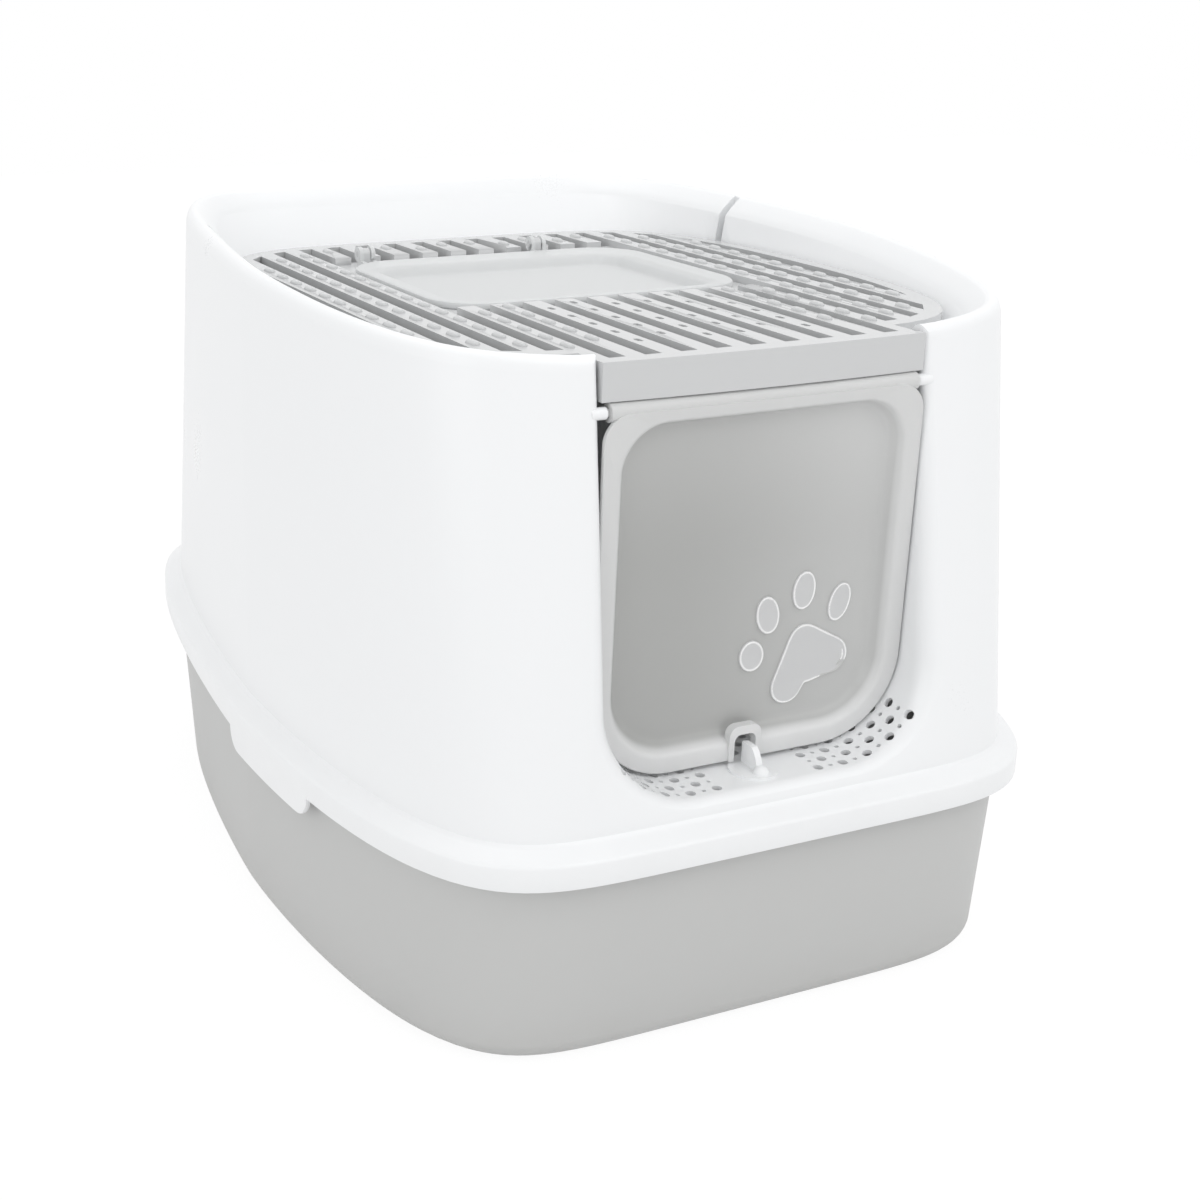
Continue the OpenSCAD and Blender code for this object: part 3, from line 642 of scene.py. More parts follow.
def hood_stations(plan):
    """Stations of the hood shell, from the foot of the skirt over the rim and back inside."""
    s, f, r = LEAN_SIDE, LEAN_FRONT, LEAN_REAR
    skirt, top, shoulder = plan.skirt, plan.skirt + 0.0125, plan.skirt + 0.0175
    crest = rounded([(0, -0.007), (0.0012, -0.003), (0.0032, -0.0007), (0.0055, 0), (0.008, -0.001)], 4)
    crest += rounded([(0.008, -0.001), (0.011, -0.0038), (0.015, -0.008), (0.0175, -0.0115)], 3)[1:]
    inside = rounded([(0.013, -0.010), (0.0065, -0.0034), (0.0045, -0.004), (plan.wall, -0.008)], 3)
    seat = SEAT_INSET
    under = -LID_DEPTH - 0.0001
    return (
        [
            (0, 0, 0, 0.0005, "floor", skirt),
            (0, 0, 0, 0.0001, "floor", skirt + 0.0002),
            (0, 0, 0, 0, "floor", skirt + 0.0006),
            (0, 0, 0, 0, "floor", top - 0.0012),
            (0, 0, 0, 0.0004, "floor", top - 0.0003),
            (0, 0, 0, 0.0014, "floor", top + 0.0006),
            (0, 0, 0, 0.0086, "floor", shoulder - 0.0007),
            (0, 0, 0, 0.0098, "floor", shoulder + 0.0001),
            (0.0003, 0.0006, 0.0006, 0.0102, "floor", shoulder + 0.0012),
        ]
        + [(s, f, r, inset, "rim", height) for inset, height in crest]
        + [
            (*seat, 0, "lid", under + 0.0007),
            (*seat, 0.0002, "lid", under + 0.0002),
            (*seat, 0.0007, "lid", under),
            (*seat, 0.0085, "ledge", under),
            (*seat, 0.009, "ledge", under - 0.0005),
            (*seat, 0.009, "ledge", under - plan.wall),
            (*seat, -plan.wall, "lid", under - plan.wall),
            (s, f, r, 0.015, "rim", -0.0125),
        ]
        + [(s, f, r, inset, "rim", height) for inset, height in inside]
        + [
            (0, 0, 0, 0.010 + plan.wall, "floor", shoulder - 0.0005),
            (0, 0, 0, 0.008, "floor", skirt + 0.009),
            (0, 0, 0, plan.wall, "floor", skirt + 0.009),
            (0, 0, 0, plan.wall, "floor", skirt),
        ]
    )


def envelope_stations():
    """Stations of the solid that bounds the doorway channel."""
    s, f, r = LEAN_SIDE, LEAN_FRONT, LEAN_REAR
    rim = [(0.0005, -0.007), (0.0017, -0.003), (0.0032, -0.001), (0.0055, -0.0005), (0.008, -0.0014)]
    rim += [(0.0145, -0.0085), (0.017, -0.0115)]
    return (
        [(0, 0, 0, 0.0105, "floor", 0.1165)]
        + [(s, f, r, inset, "rim", height) for inset, height in rim]
        + [(*SEAT_INSET, -0.0005, "lid", -0.011)]
    )


def doorway(shell, name, grown, back):
    """Solid that fills the doorway, flared where it meets the front wall."""
    plan = shell.plan
    flat = plan.door_half - plan.door_corner
    centre = plan.sill + plan.door_corner
    high = plan.rim_back + 0.02

    def line(turn):
        rows = []
        for side, start in ((-1, 180), (1, 270)):
            for i in range(31):
                angle = math.radians(start + 3 * i)
                share = math.cos(angle) ** 2
                radius = share * 0.012 + (1 - share) * 0.006
                reach = plan.door_corner + grown + radius * (1 - math.cos(turn))
                x = side * flat + reach * math.cos(angle)
                z = centre + reach * math.sin(angle)
                rows.append((x, shell.wall_depth(x, z) + radius * (1 - math.sin(turn)), z))
        ends = []
        for side in (-1, 1):
            x = side * (plan.door_half + grown + 0.002 * (1 - math.cos(turn)))
            ends.append((x, shell.wall_depth(x, high) + 0.002 * (1 - math.sin(turn)), high))
        return [ends[0], *rows, ends[1]]

    first, last = line(math.pi / 2), line(0)
    rings = [[(x, shell.middle - plan.front - 0.005, z) for x, y, z in first]]
    rings += [line(math.radians(90 - 7.5 * i)) for i in range(13)]
    rings.append([(x, back, z) for x, y, z in last])
    return loose(loft(name, rings, False))


def grip_tab(shell, side):
    """Tab that hangs from the skirt at one side, rounded at its lower corners."""
    plan = shell.plan
    middle, half, drop, corner = -0.0738, 0.049, 0.012, 0.0115
    m, n = HULL["front"]
    rings = []
    for i in range(49):
        share = -math.cos(math.pi * i / 48)
        y = middle + half * share
        reach = half - abs(y - middle)
        low = plan.skirt - drop
        if reach < corner:
            low += corner - math.sqrt(corner**2 - (corner - reach) ** 2)
        forward = max((shell.middle - y) / plan.front, 0)
        x = plan.half_width * (1 - forward**n) ** (1 / m)
        top = plan.skirt + 0.003
        edge = 0.0005
        ring = [
            (x - plan.wall, y, top),
            (x, y, top),
            (x, y, low + edge),
            (x - edge, y, low),
            (x - plan.wall + edge, y, low),
            (x - plan.wall, y, low + edge),
        ]
        rings.append([(side * a, b, c) for a, b, c in ring])
    return loose(loft("grip_tab", rings, False))


def repeat_tree(name, numbers):
    """Geometry Nodes tree with named number inputs and a material, and its input and output nodes."""
    tree = bpy.data.node_groups.new(name, "GeometryNodeTree")
    face = tree.interface
    face.new_socket("Geometry", in_out="INPUT", socket_type="NodeSocketGeometry")
    for label, value in numbers:
        face.new_socket(label, in_out="INPUT", socket_type="NodeSocketFloat").default_value = value
    face.new_socket("Material", in_out="INPUT", socket_type="NodeSocketMaterial")
    face.new_socket("Geometry", in_out="OUTPUT", socket_type="NodeSocketGeometry")
    return tree, put(tree, "NodeGroupInput", -1200, 0), put(tree, "NodeGroupOutput", 1100, 0)


def drain_tree():
    """Geometry Nodes tree that stands a rod at each point, turned and sized by its attributes."""
    tree, start, end = repeat_tree("drain_holes", (("Hole Radius", 0.0025), ("Hole Depth", 0.0045)))
    stick = put(tree, "GeometryNodeMeshCylinder", -500, -200, {"Vertices": 20})
    feed(tree, stick, {"Radius": start.outputs["Hole Radius"], "Depth": start.outputs["Hole Depth"]})
    read = "GeometryNodeInputNamedAttribute"
    lean = put(tree, read, -500, -500, {"Name": "lean"}, data_type="FLOAT_VECTOR")
    size = put(tree, read, -500, -700, {"Name": "size"}, data_type="FLOAT_VECTOR")
    turn = put(tree, "FunctionNodeEulerToRotation", -300, -500, {0: lean.outputs["Attribute"]})
    stand = put(tree, "GeometryNodeInstanceOnPoints", 0, 0, {"Points": start.outputs["Geometry"]})
    feed(tree, stand, {"Instance": stick.outputs["Mesh"], "Rotation": turn.outputs[0]})
    feed(tree, stand, {"Scale": size.outputs["Attribute"]})
    real = put(tree, "GeometryNodeRealizeInstances", 300, 0, {0: stand.outputs["Instances"]})
    coat = put(tree, "GeometryNodeSetMaterial", 600, 0, {"Geometry": real.outputs[0]})
    feed(tree, coat, {"Material": start.outputs["Material"]})
    feed(tree, end, {0: coat.outputs[0]})
    return tree


def grown_mesh(name, points, attributes, tree, values):
    """Plain mesh that a Geometry Nodes tree makes from points with vector attributes."""
    mesh = bpy.data.meshes.new(name)
    mesh.from_pydata(points, [], [])
    for label, rows in attributes.items():
        layer = mesh.attributes.new(label, "FLOAT_VECTOR", "POINT")
        layer.data.foreach_set("vector", [v for row in rows for v in row])
    item = bpy.data.objects.new(name, mesh)
    modifier = item.modifiers.new(tree.name, "NODES")
    modifier.node_group = tree
    for socket in tree.interface.items_tree:
        if socket.in_out == "INPUT" and socket.name in values:
            modifier[socket.identifier] = values[socket.name]
    bpy.context.scene.collection.objects.link(item)
    view = bpy.context.evaluated_depsgraph_get()
    result = bpy.data.meshes.new_from_object(item.evaluated_get(view))
    result.name = name
    bpy.data.objects.remove(item)
    bpy.data.meshes.remove(mesh)
    return result


def drain_points(plan, middle):
    """Place, lean and size of every drain hole in the sill and its rounded corners."""
    pitch, step, rows = 0.0072, 0.0074, 7
    flat = plan.door_half - plan.door_corner
    reach = int((flat + plan.door_corner * 1.1) / pitch)
    first = middle - plan.front + 0.021
    spots, leans, sizes = [], [], []
    for row in range(rows):
        for col in range(-reach, reach + 1):
            along, side = abs(col) * pitch, (col > 0) - (col < 0)
            y = first + row * step
            if along <= 0.024 and abs(y - CATCH[1]) <= 0.016:
                continue
            angle = max(0.0, along - flat) / plan.door_corner * -side
            drop = plan.door_corner + plan.wall / 2
            x = min(along, flat) * side - drop * math.sin(angle)
            spots.append((x, y, plan.sill + plan.door_corner - drop * math.cos(angle)))
            leans.append((0.0, angle, 0.0))
            large = 1.0 if (row + col) % 2 == 0 else 0.46
            sizes.append((large, large, 1.0))
    return spots, {"lean": leans, "size": sizes}


def nub_tree():
    """Geometry Nodes tree that sets one rounded capsule at each point."""
    numbers = (("Nub Width", 0.0046), ("Nub Length", 0.01), ("Nub Height", 0.0019), ("Lean", 0.0))
    tree, start, end = repeat_tree("grip_nubs", numbers)
    wide, long = start.outputs["Nub Width"], start.outputs["Nub Length"]
    radius = maths(tree, "MULTIPLY", -1000, -200, wide, 0.5)
    spare = maths(tree, "SUBTRACT", -1000, -400, long, wide)
    half = maths(tree, "MULTIPLY", -800, -400, spare, 0.5)
    ball = put(tree, "GeometryNodeMeshUVSphere", -700, 0, {"Segments": 16, "Rings": 8, "Radius": radius})
    place = put(tree, "GeometryNodeInputPosition", -1000, -600)
    split = put(tree, "ShaderNodeSeparateXYZ", -800, -600, {0: place.outputs[0]})
    way = maths(tree, "SIGN", -600, -600, split.outputs["Y"])
    push = maths(tree, "MULTIPLY", -400, -500, way, half)
    shift = put(tree, "ShaderNodeCombineXYZ", -200, -500, {"Y": push})
    stretch = put(tree, "GeometryNodeSetPosition", -200, 0, {"Geometry": ball.outputs["Mesh"]})
    feed(tree, stretch, {"Offset": shift.outputs[0]})
    squash = maths(tree, "DIVIDE", -400, -250, start.outputs["Nub Height"], radius)
    scale = put(tree, "ShaderNodeCombineXYZ", -200, -250, {"X": 1.0, "Y": 1.0, "Z": squash})
    flat = put(tree, "GeometryNodeTransform", 50, 0, {"Geometry": stretch.outputs[0]})
    feed(tree, flat, {"Scale": scale.outputs[0]})
    lean = put(tree, "ShaderNodeCombineXYZ", 50, -300, {"X": start.outputs["Lean"]})
    turn = put(tree, "FunctionNodeEulerToRotation", 200, -300, {0: lean.outputs[0]})
    stand = put(tree, "GeometryNodeInstanceOnPoints", 350, 0, {"Points": start.outputs["Geometry"]})
    feed(tree, stand, {"Instance": flat.outputs[0], "Rotation": turn.outputs[0]})
    real = put(tree, "GeometryNodeRealizeInstances", 550, 0, {0: stand.outputs["Instances"]})
    smooth = put(tree, "GeometryNodeSetShadeSmooth", 700, 0, {"Geometry": real.outputs[0]})
    coat = put(tree, "GeometryNodeSetMaterial", 900, 0, {"Geometry": smooth.outputs[0]})
    feed(tree, coat, {"Material": start.outputs["Material"]})
    feed(tree, end, {0: coat.outputs[0]})
    return tree


def nub_points(plan, nubs):
    """Places of the nubs on the tilted lid: inside its border, clear of the flap and the slots."""
    middle = plan.front - (plan.front + plan.rear) / 2
    spots = []
    for slat in range(8):
        for side in (-1, 1):
            for step in range(25):
                x = side * (slat + 0.5) * nubs.slat_pitch
                y = LID_FRONT + 0.017 + (step + (slat % 2) * 0.5) * nubs.pitch
                if y < middle:
                    reach, power = plan.front - SEAT_INSET[1] - 0.010, SEAT["front"][1]
                else:
                    reach, power = plan.rear - SEAT_INSET[2] - 0.016, SEAT["rear"][1]
                width = plan.half_width - SEAT_INSET[0] - 0.014
                if (abs(x) / width) ** 6 + (abs(y - middle) / reach) ** power >= 1:
                    continue
                if abs(x) < 0.093 and FLAP_Y[0] - 0.0093 <= y <= FLAP_Y[1] + 0.0253:
                    continue
                if slat < 3 and LID_FRONT + 0.032 < y < FLAP_Y[0]:
                    continue
                spots.append(on_lid(x, y, 0))
    return spots


class LITTERBOX_OT_tray(bpy.types.Operator):
    """Finish the grey tray"""

    bl_idname = "litterbox.tray"
    bl_label = "Tray"

    def execute(self, context):
        look = context.scene.litter_box_finish
        # Tray darkens below 35 mm: dust and painted shade near the floor.
        grey = plastic("tray_grey", look.tray_colour, 0.04, (0.46, 0.58), 0.00003, (0.0, 0.035, 0.2))
        plan = context.scene.litter_box_plan
        mesh = Shell(plan).loft("tray_skin", self.stations(plan), False)
        soften(mesh, 32)
        new_piece("tray_skin", mesh, "tray", "grey_plastic", grey, "tray")
        return {"FINISHED"}

    def stations(self, plan):
        """Stations of the tray: rounded foot, tapered wall, rolled rim, then the inside."""
        top, rim, foot = 0.0085, plan.skirt + 0.009, 0.011
        side, front, rear = top + 0.001, top + 0.006, top + 0.036
        share = foot / rim
        low = (side - 0.001 * share, front - 0.006 * share, rear - 0.036 * share)
        wall = plan.wall
        outer, inner = [], []
        for i in range(9):
            turn = math.pi / 2 * i / 8
            mix = 1 - math.cos(turn)
            seat = [a + (b - a) * mix for a, b in zip((side, front, rear), low)]
            outer.append((*seat, foot * (1 - math.sin(turn)), "floor", foot * mix))
            inner.append((*seat, foot * (1 - math.sin(turn)) + wall, "floor", wall + (foot - wall) * mix))
        return (
            outer
            + [
                (top, top, top, 0, "floor", rim - 0.006),
                (wall + 0.0006, wall + 0.0006, wall + 0.0006, 0, "floor", rim - 0.0035),
                (wall + 0.0006, wall + 0.0006, wall + 0.0006, 0, "floor", rim),
                (top, top, top, wall, "floor", rim),
            ]
            + inner[::-1]
        )


class LITTERBOX_OT_hood(bpy.types.Operator):
    """Finish the white hood"""

    bl_idname = "litterbox.hood"
    bl_label = "Hood"

    def execute(self, context):
        look = context.scene.litter_box_finish
        # Hood darkens a little towards its skirt: dust and painted shade.
        white = plastic("hood_white", look.hood_colour, 0.012, (0.27, 0.36), 0.000012, (0.09, 0.14, 0.06))
        plan = context.scene.litter_box_plan
        shell = Shell(plan)
        shape = loose(shell.loft("hood_skin", hood_stations(plan), True))
        channel = loose(shell.loft("channel", envelope_stations(), False))
        channel = combined(channel, doorway(shell, "channel_wall", plan.wall, -0.1505), "INTERSECT")
        shape = combined(shape, channel, "UNION")
        for side in (-1, 1):
            shape = combined(shape, grip_tab(shell, side), "UNION")
        shape = combined(shape, doorway(shell, "doorway", 0, -0.1455), "DIFFERENCE")
        spots, rows = drain_points(plan, shell.middle)
        holes = grown_mesh("drain_holes", spots, rows, drain_tree(), {"Hole Depth": plan.wall + 0.002})
        shape = combined(shape, loose(holes), "DIFFERENCE")
        for addition in self.bosses(shell):
            shape = combined(shape, addition, "UNION")
        for cutter in self.slots(shell):
            shape = combined(shape, cutter, "DIFFERENCE")
        mesh = taken(shape, 30)
        new_piece("hood_skin", mesh, "hood", "white_plastic", white, "hood")
        return {"FINISHED"}

    def pin_place(self, shell):
        """Half width between the lid pins and the height of their axis."""
        share = (PIN_Y - shell.middle) / (shell.plan.rear - SEAT_INSET[2])
        m, n = SEAT["rear"]
        reach = (shell.plan.half_width - SEAT_INSET[0]) * (1 - share**n) ** (1 / m)
        return reach, shell.lid_plane(PIN_Y) - LID_DEPTH / 2

    def bosses(self, shell):
        """Walls round the lid pin slots and the round bosses of the door pins."""
        reach, low = self.pin_place(shell)
        half = PIN_WIDTH / 2 + 0.0022
        parts = []
        for side in (-1, 1):
            x = side * (reach + 0.0084)
            near = (x - SLOT_DEPTH / 2, PIN_Y - half, low - half)
            wall = block("slot_wall", near, (x + SLOT_DEPTH / 2, PIN_Y + half, low + SLOT_TOP))
            band = loose(shell.loft("band", envelope_stations(), False))
            parts.append(combined(wall, band, "INTERSECT"))
            place = (side * (shell.plan.door_half + 0.0006), *DOOR_PIN)
            parts.append(rod("door_boss", place, "X", BOSS_RADIUS, 0.0078))
        return parts

    def slots(self, shell):
        """Cutters for the two lid pin slots, the door pin bores and the bore of the catch."""
        reach, low = self.pin_place(shell)
        half = PIN_WIDTH / 2
        cutters = [rod("catch_bore", (*CATCH, shell.plan.sill - 0.0015), "Z", 0.00405, 0.008)]
        for side in (-1, 1):
            x = side * (reach + 0.003)
            cutters.append(rod("pin_bore", (x, PIN_Y, low), "X", half, 0.022))
            near = (x - 0.011, PIN_Y - SLOT_HALF, low)
            cutters.append(block("pin_slot", near, (x + 0.011, PIN_Y + SLOT_HALF, low + SLOT_TOP)))
            cutters.append(rod("door_bore", (side * shell.plan.door_half, *DOOR_PIN), "X", 0.00205, 0.0081))
        return cutters


class LITTERBOX_OT_lid(bpy.types.Operator):
    """Finish the slatted lid and its front bar"""

    bl_idname = "litterbox.lid"
    bl_label = "Slatted lid"

    def execute(self, context):
        look = context.scene.litter_box_finish
        grey = plastic("lid_grey", look.lid_colour, 0.03, (0.18, 0.26), 0.00002, (0.0, 0.02, 0.0))
        mesh = joined_copy("grille_lid", "lid_skin")
        soften(mesh, 32)
        new_piece("lid_skin", mesh, "lid", "light_grey_plastic", grey, "grille_lid")
        return {"FINISHED"}


class LITTERBOX_OT_nubs(bpy.types.Operator):
    """Set the rounded grip nubs on the slats"""

    bl_idname = "litterbox.nubs"
    bl_label = "Grip nubs"

    def execute(self, context):
        nubs = context.scene.litter_box_nubs
        grey = bpy.data.materials.get("lid_grey")
        if grey is None:
            raise RuntimeError("the slatted lid is made before its nubs")
        spots = nub_points(context.scene.litter_box_plan, nubs)
        values = {
            "Nub Width": nubs.width,
            "Nub Length": nubs.long,
            "Nub Height": nubs.height,
            "Lean": -TILT,
            "Material": grey,
        }
        mesh = grown_mesh("grip_nubs", spots, {}, nub_tree(), values)
        new_piece("grip_nubs", mesh, "lid", "light_grey_plastic", grey)
        return {"FINISHED"}


class LITTERBOX_OT_flap(bpy.types.Operator):
    """Finish the milky top flap"""

    bl_idname = "litterbox.flap"
    bl_label = "Top flap"

    def execute(self, context):
        look = context.scene.litter_box_finish
        milky = milky_plastic(look)
        shape = loose(loft("flap_skin", [self.ring(*row) for row in self.profile()], False))
        for centre in FLAP_EARS:
            for side in (-1, 1):
                for part in self.ear(centre + side * 0.0036):
                    shape = combined(shape, part, "UNION")
            place = on_lid(centre, *FLAP_PIN)
            shape = combined(shape, rod("ear_bore", place, "X", 0.0018, 0.012, 32), "DIFFERENCE")
        mesh = taken(shape, 35)
        new_piece("flap_skin", mesh, "flap", "milky_plastic", milky, "top_flap")
        return {"FINISHED"}

    def profile(self):
        """Inset and height in mm of each ring, from under the pan over the rim to the pan floor."""
        under = rounded([(18, -11), (16, -10.7), (14.6, -9), (13.6, -6), (12.6, -4.3)], 3)
        edge = [(11.5, -4), (1.0, -4), (0.3, -3.6), (0, -2.9), (0, -1.4), (0.35, -0.55), (1.1, -0.1)]
        bowl = [(2.2, 0), (6, -0.35), (10.5, -1.2), (13.6, -2.9), (15.2, -5.6), (16.6, -8.2), (19.5, -9)]
        return under + edge + rounded(bowl, 4)

    def ring(self, inset, height):
        """Ring of points at one inset and height on the lid."""
        inset, height = inset / 1000, height / 1000
        radius = FLAP_CORNER - inset * 0.85
        low, high = FLAP_Y[0] + inset, FLAP_Y[1] - inset
        flat = corner_ring(FLAP_HALF - inset, low, high, radius, radius)
        return [on_lid(x, y, height) for x, y in flat]

    def ear(self, x):
        """Round eye and foot of one hinge ear."""
        y, high = FLAP_PIN
        eye = rod("ear_eye", on_lid(x, y, high), "X", 0.0044, 0.0024, 40)
        foot = self.bar(x, y - 0.010, y - 0.0042, -0.0039, 0.0)
        neck = self.bar(x, y - 0.0044, y, -0.0039, high)
        return foot, neck, eye

    def bar(self, x, near, far, low, high):
        """Small upright bar of the ear, laid on the lid."""
        rings = []
        for height in (low, high):
            corners = ((-0.0012, near), (0.0012, near), (0.0012, far), (-0.0012, far))
            rings.append([on_lid(x + a, b, height) for a, b in corners])
        return loose(loft("ear_bar", rings, False))


class LITTERBOX_OT_door(bpy.types.Operator):
    """Finish the milky front door with its paw relief"""

    bl_idname = "litterbox.door"
    bl_label = "Front door"

    def execute(self, context):
        look = context.scene.litter_box_finish
        milky = door_plastic(look)
        pads = plastic("milky_relief", look.relief_colour, 0.02, (0.30, 0.40), 0.00001, (0.0, 0.02, 0.0), 0.3)
        # The bead material is a painted highlight on the paw edges and the crescent.
        painted_highlight = plastic("milky_painted_highlight", look.painted_highlight_colour, 0.02, (0.22, 0.30), 0.00001, (0.0, 0.02, 0.0), 0.1)
        shape = loose(loft("door_skin", [self.ring(*row) for row in self.profile()], False))
        collar = loft("collar", [self.arch(0.009, 0.018, 0.005, y) for y in (-0.2167, -0.2120)], False)
        shape = combined(shape, loose(collar), "UNION")
        shape = combined(shape, rod("door_bar", (0, *DOOR_PIN), "X", 0.0045, 0.1665), "UNION")
        shape = combined(shape, rod("door_pin", (0, *DOOR_PIN), "X", 0.002, 0.183, 32), "UNION")
        notch = loft("notch", [self.arch(0.006, 0.0135, 0.0035, y) for y in (-0.218, -0.200)], False)
        shape = combined(shape, loose(notch), "DIFFERENCE")
        for outline in self.paw():
            shape = combined(shape, self.pad(outline), "UNION")
        shape = combined(shape, self.crescent(), "UNION")
        mesh = taken(shape, 35)
        new_piece("door_skin", mesh, "door", "milky_plastic", milky, "front_door")
        mesh.materials.append(pads)
        mesh.materials.append(painted_highlight)
        # Bead and crescent faces get the painted highlight, pad faces the relief tone.
        for face in mesh.polygons:
            x, y, z = face.center
            rise = DOOR_FLOOR - y
            foot = 0.147 if x < 0.045 else 0.168
            raised = 0.0001 < rise < 0.0016 and -0.01 < x < 0.0655 and foot < z < 0.222
            face.material_index = (2 if rise > 0.0009 else 1) if raised else 0
        return {"FINISHED"}

    def profile(self):
        """Half width, foot, head, the two corner radii and depth in mm of each ring."""
        back = [(68, 205.5), (71.2, 205.6), (73.6, 206.3), (75.3, 207.8), (76.7, 210), (78.1, 212.1)]
        back.append((79, 212.5))
        rim = [(86.3, 212.5), (86.8, 213), (86.8, 215), (86.3, 215.5)]
        bowl = [(79.8, 215.5), (78.3, 215.2), (77.0, 214.2), (75.6, 212), (74, 209.4), (72.4, 208.1)]
        bowl.append((70, 207.5))
        rows = []
        for part, steps in ((back, 3), (rim, 1), (bowl, 3)):
            for half, depth in rounded(part, steps):
                inset = 86.8 - half
                head = 307.4 - inset * 0.62
                share = min(1.0, inset / 7)
                high_r = 14 + share * 12 - max(0, inset - 7) * 0.9
                rows.append((half, 128 + inset, head, 43.5 - inset, high_r, -depth))
        return rows

    def ring(self, half, foot, head, low_r, high_r, depth):
        """Ring of points of the door at one depth, from sizes in mm."""
        flat = corner_ring(half, foot, head, low_r, high_r, 18)
        return [(x / 1000, depth / 1000, z / 1000) for x, z in flat]

    def arch(self, half, high, radius, y):
        """Arch round the catch, standing on the foot of the door."""
        foot = 0.128 if half > 0.007 else 0.126
        flat = corner_ring(half, foot, 0.128 + high, 0.0008, radius, 8)
        return [(x + CATCH[0], y, z) for x, z in flat]

    def paw(self):
        """Outlines of the four toes and the main pad, in mm across and up."""
        toes = [
            (3.9, 177.6, 7.0, 8.0, 10),
            (11.7, 197.6, 6.6, 9.8, 12),
            (31.8, 207.6, 6.6, 9.8, -4),
            (53.2, 198.8, 6.2, 10.0, -16),
        ]
        outlines = []
        for x, z, wide, high, lean in toes:
            cos, sin = math.cos(math.radians(lean)), math.sin(math.radians(lean))
            ring = []
            for i in range(56):
                turn = 2 * math.pi * i / 56
                a, b = wide * math.cos(turn), high * math.sin(turn)
                ring.append((x + a * cos - b * sin, z + a * sin + b * cos))
            outlines.append(ring)
        outlines.append(self.main_pad())
        return outlines

    def main_pad(self):
        """Outline of the main pad: three lobes joined by soft flanks."""
        lobes = ((34.0, 181.0, 9.0), (25.5, 158.5, 9.0), (51.0, 171.0, 9.5))
        flanks = ((25.2, 183.5), (16.7, 161.0), (26.0, 158.0), (38.5, 158.8), (50.3, 161.8))
        flanks += ((55.8, 179.2), (38.4, 188.9))
        cx, cz = 36.0, 170.0
        reach = []
        for i in range(PAD_STEPS):
            turn = 2 * math.pi * i / PAD_STEPS
            dx, dz = math.cos(turn), math.sin(turn)
            far = 0.0
            for x, z, radius in lobes:
                along = (x - cx) * dx + (z - cz) * dz
                off = (x - cx) * dz - (z - cz) * dx
                if abs(off) < radius:
                    far = max(far, along + math.sqrt(radius**2 - off**2))
            for (ax, az), (bx, bz) in zip(flanks, flanks[1:] + flanks[:1]):
                ex, ez = bx - ax, bz - az
                turned = dx * ez - dz * ex
                if abs(turned) < 1e-9:
                    continue
                t = ((ax - cx) * ez - (az - cz) * ex) / turned
                u = ((ax - cx) * dz - (az - cz) * dx) / turned
                if t > 0 and 0 <= u <= 1:
                    far = max(far, t)
            reach.append(far)
        for _ in range(4):
            reach = [(reach[i - 1] + 2 * r + reach[(i + 1) % PAD_STEPS]) / 4 for i, r in enumerate(reach)]
        turns = [2 * math.pi * i / PAD_STEPS for i in range(PAD_STEPS)]
        return [(cx + r * math.cos(a), cz + r * math.sin(a)) for r, a in zip(reach, turns)]

    def pad(self, outline):
        """Raised pad with a fine bead along its edge."""
        cx = sum(x for x, z in outline) / len(outline)
        cz = sum(z for x, z in outline) / len(outline)
        rings = []
        for inset, rise in PAD_ROWS:
            ring, depth = [], DOOR_FLOOR - rise / 1000
            for x, z in outline:
                far = math.hypot(x - cx, z - cz)
                keep = (far - inset) / far
                ring.append(((cx + (x - cx) * keep) / 1000, depth, (cz + (z - cz) * keep) / 1000))
            rings.append(ring)
        return loose(loft("pad", rings, False))

    def crescent(self):
        """Small curved bead on the right lobe of the main pad."""
        rings = []
        for i in range(19):
            turn = math.radians(24 - 84 * i / 18)
            thick = 0.55 * math.sqrt(max(0.02, 1 - (i / 9 - 1) ** 4))
            ring = []
            for k in range(10):
                a = 2 * math.pi * k / 10
                r = 6.6 + thick * math.cos(a)
                x, z = 51.0 + r * math.cos(turn), 171.0 + r * math.sin(turn)
                ring.append((x / 1000, DOOR_FLOOR - (0.8 + thick * math.sin(a)) / 1000, z / 1000))
            rings.append(ring)
        return loose(loft("crescent", rings, False))


class LITTERBOX_OT_catch(bpy.types.Operator):
    """Finish the turning catch in front of the door"""

    bl_idname = "litterbox.catch"
    bl_label = "Door catch"

    def execute(self, context):
        look = context.scene.litter_box_finish
        white = plastic("catch_white", look.hood_colour, 0.01, (0.25, 0.33), 0.00001, (0.0, 0.02, 0.0))
        mesh = joined_copy("door_latch", "catch_skin")
        soften(mesh, 40)
        piece = new_piece("catch_skin", mesh, "latch", "white_plastic", white, "door_latch")
        round_edges(piece, look.edge * 0.7)
        return {"FINISHED"}


# --- stage -------------------------------------------------------------------


def seen_white(tree, shader, strength):
    """Mixes a shader with plain white for rays from the camera, mirrors and glass."""
    rays = put(tree, "ShaderNodeLightPath", -600, 300).outputs
    first = maths(tree, "MAXIMUM", -400, 300, rays["Is Camera Ray"], rays["Is Glossy Ray"])
    second = maths(tree, "MAXIMUM", -200, 300, first, rays["Is Transmission Ray"])
    share = maths(tree, "MULTIPLY", 0, 300, second, strength)
    return put(tree, "ShaderNodeMixShader", 250, 100, {0: share, 1: shader})


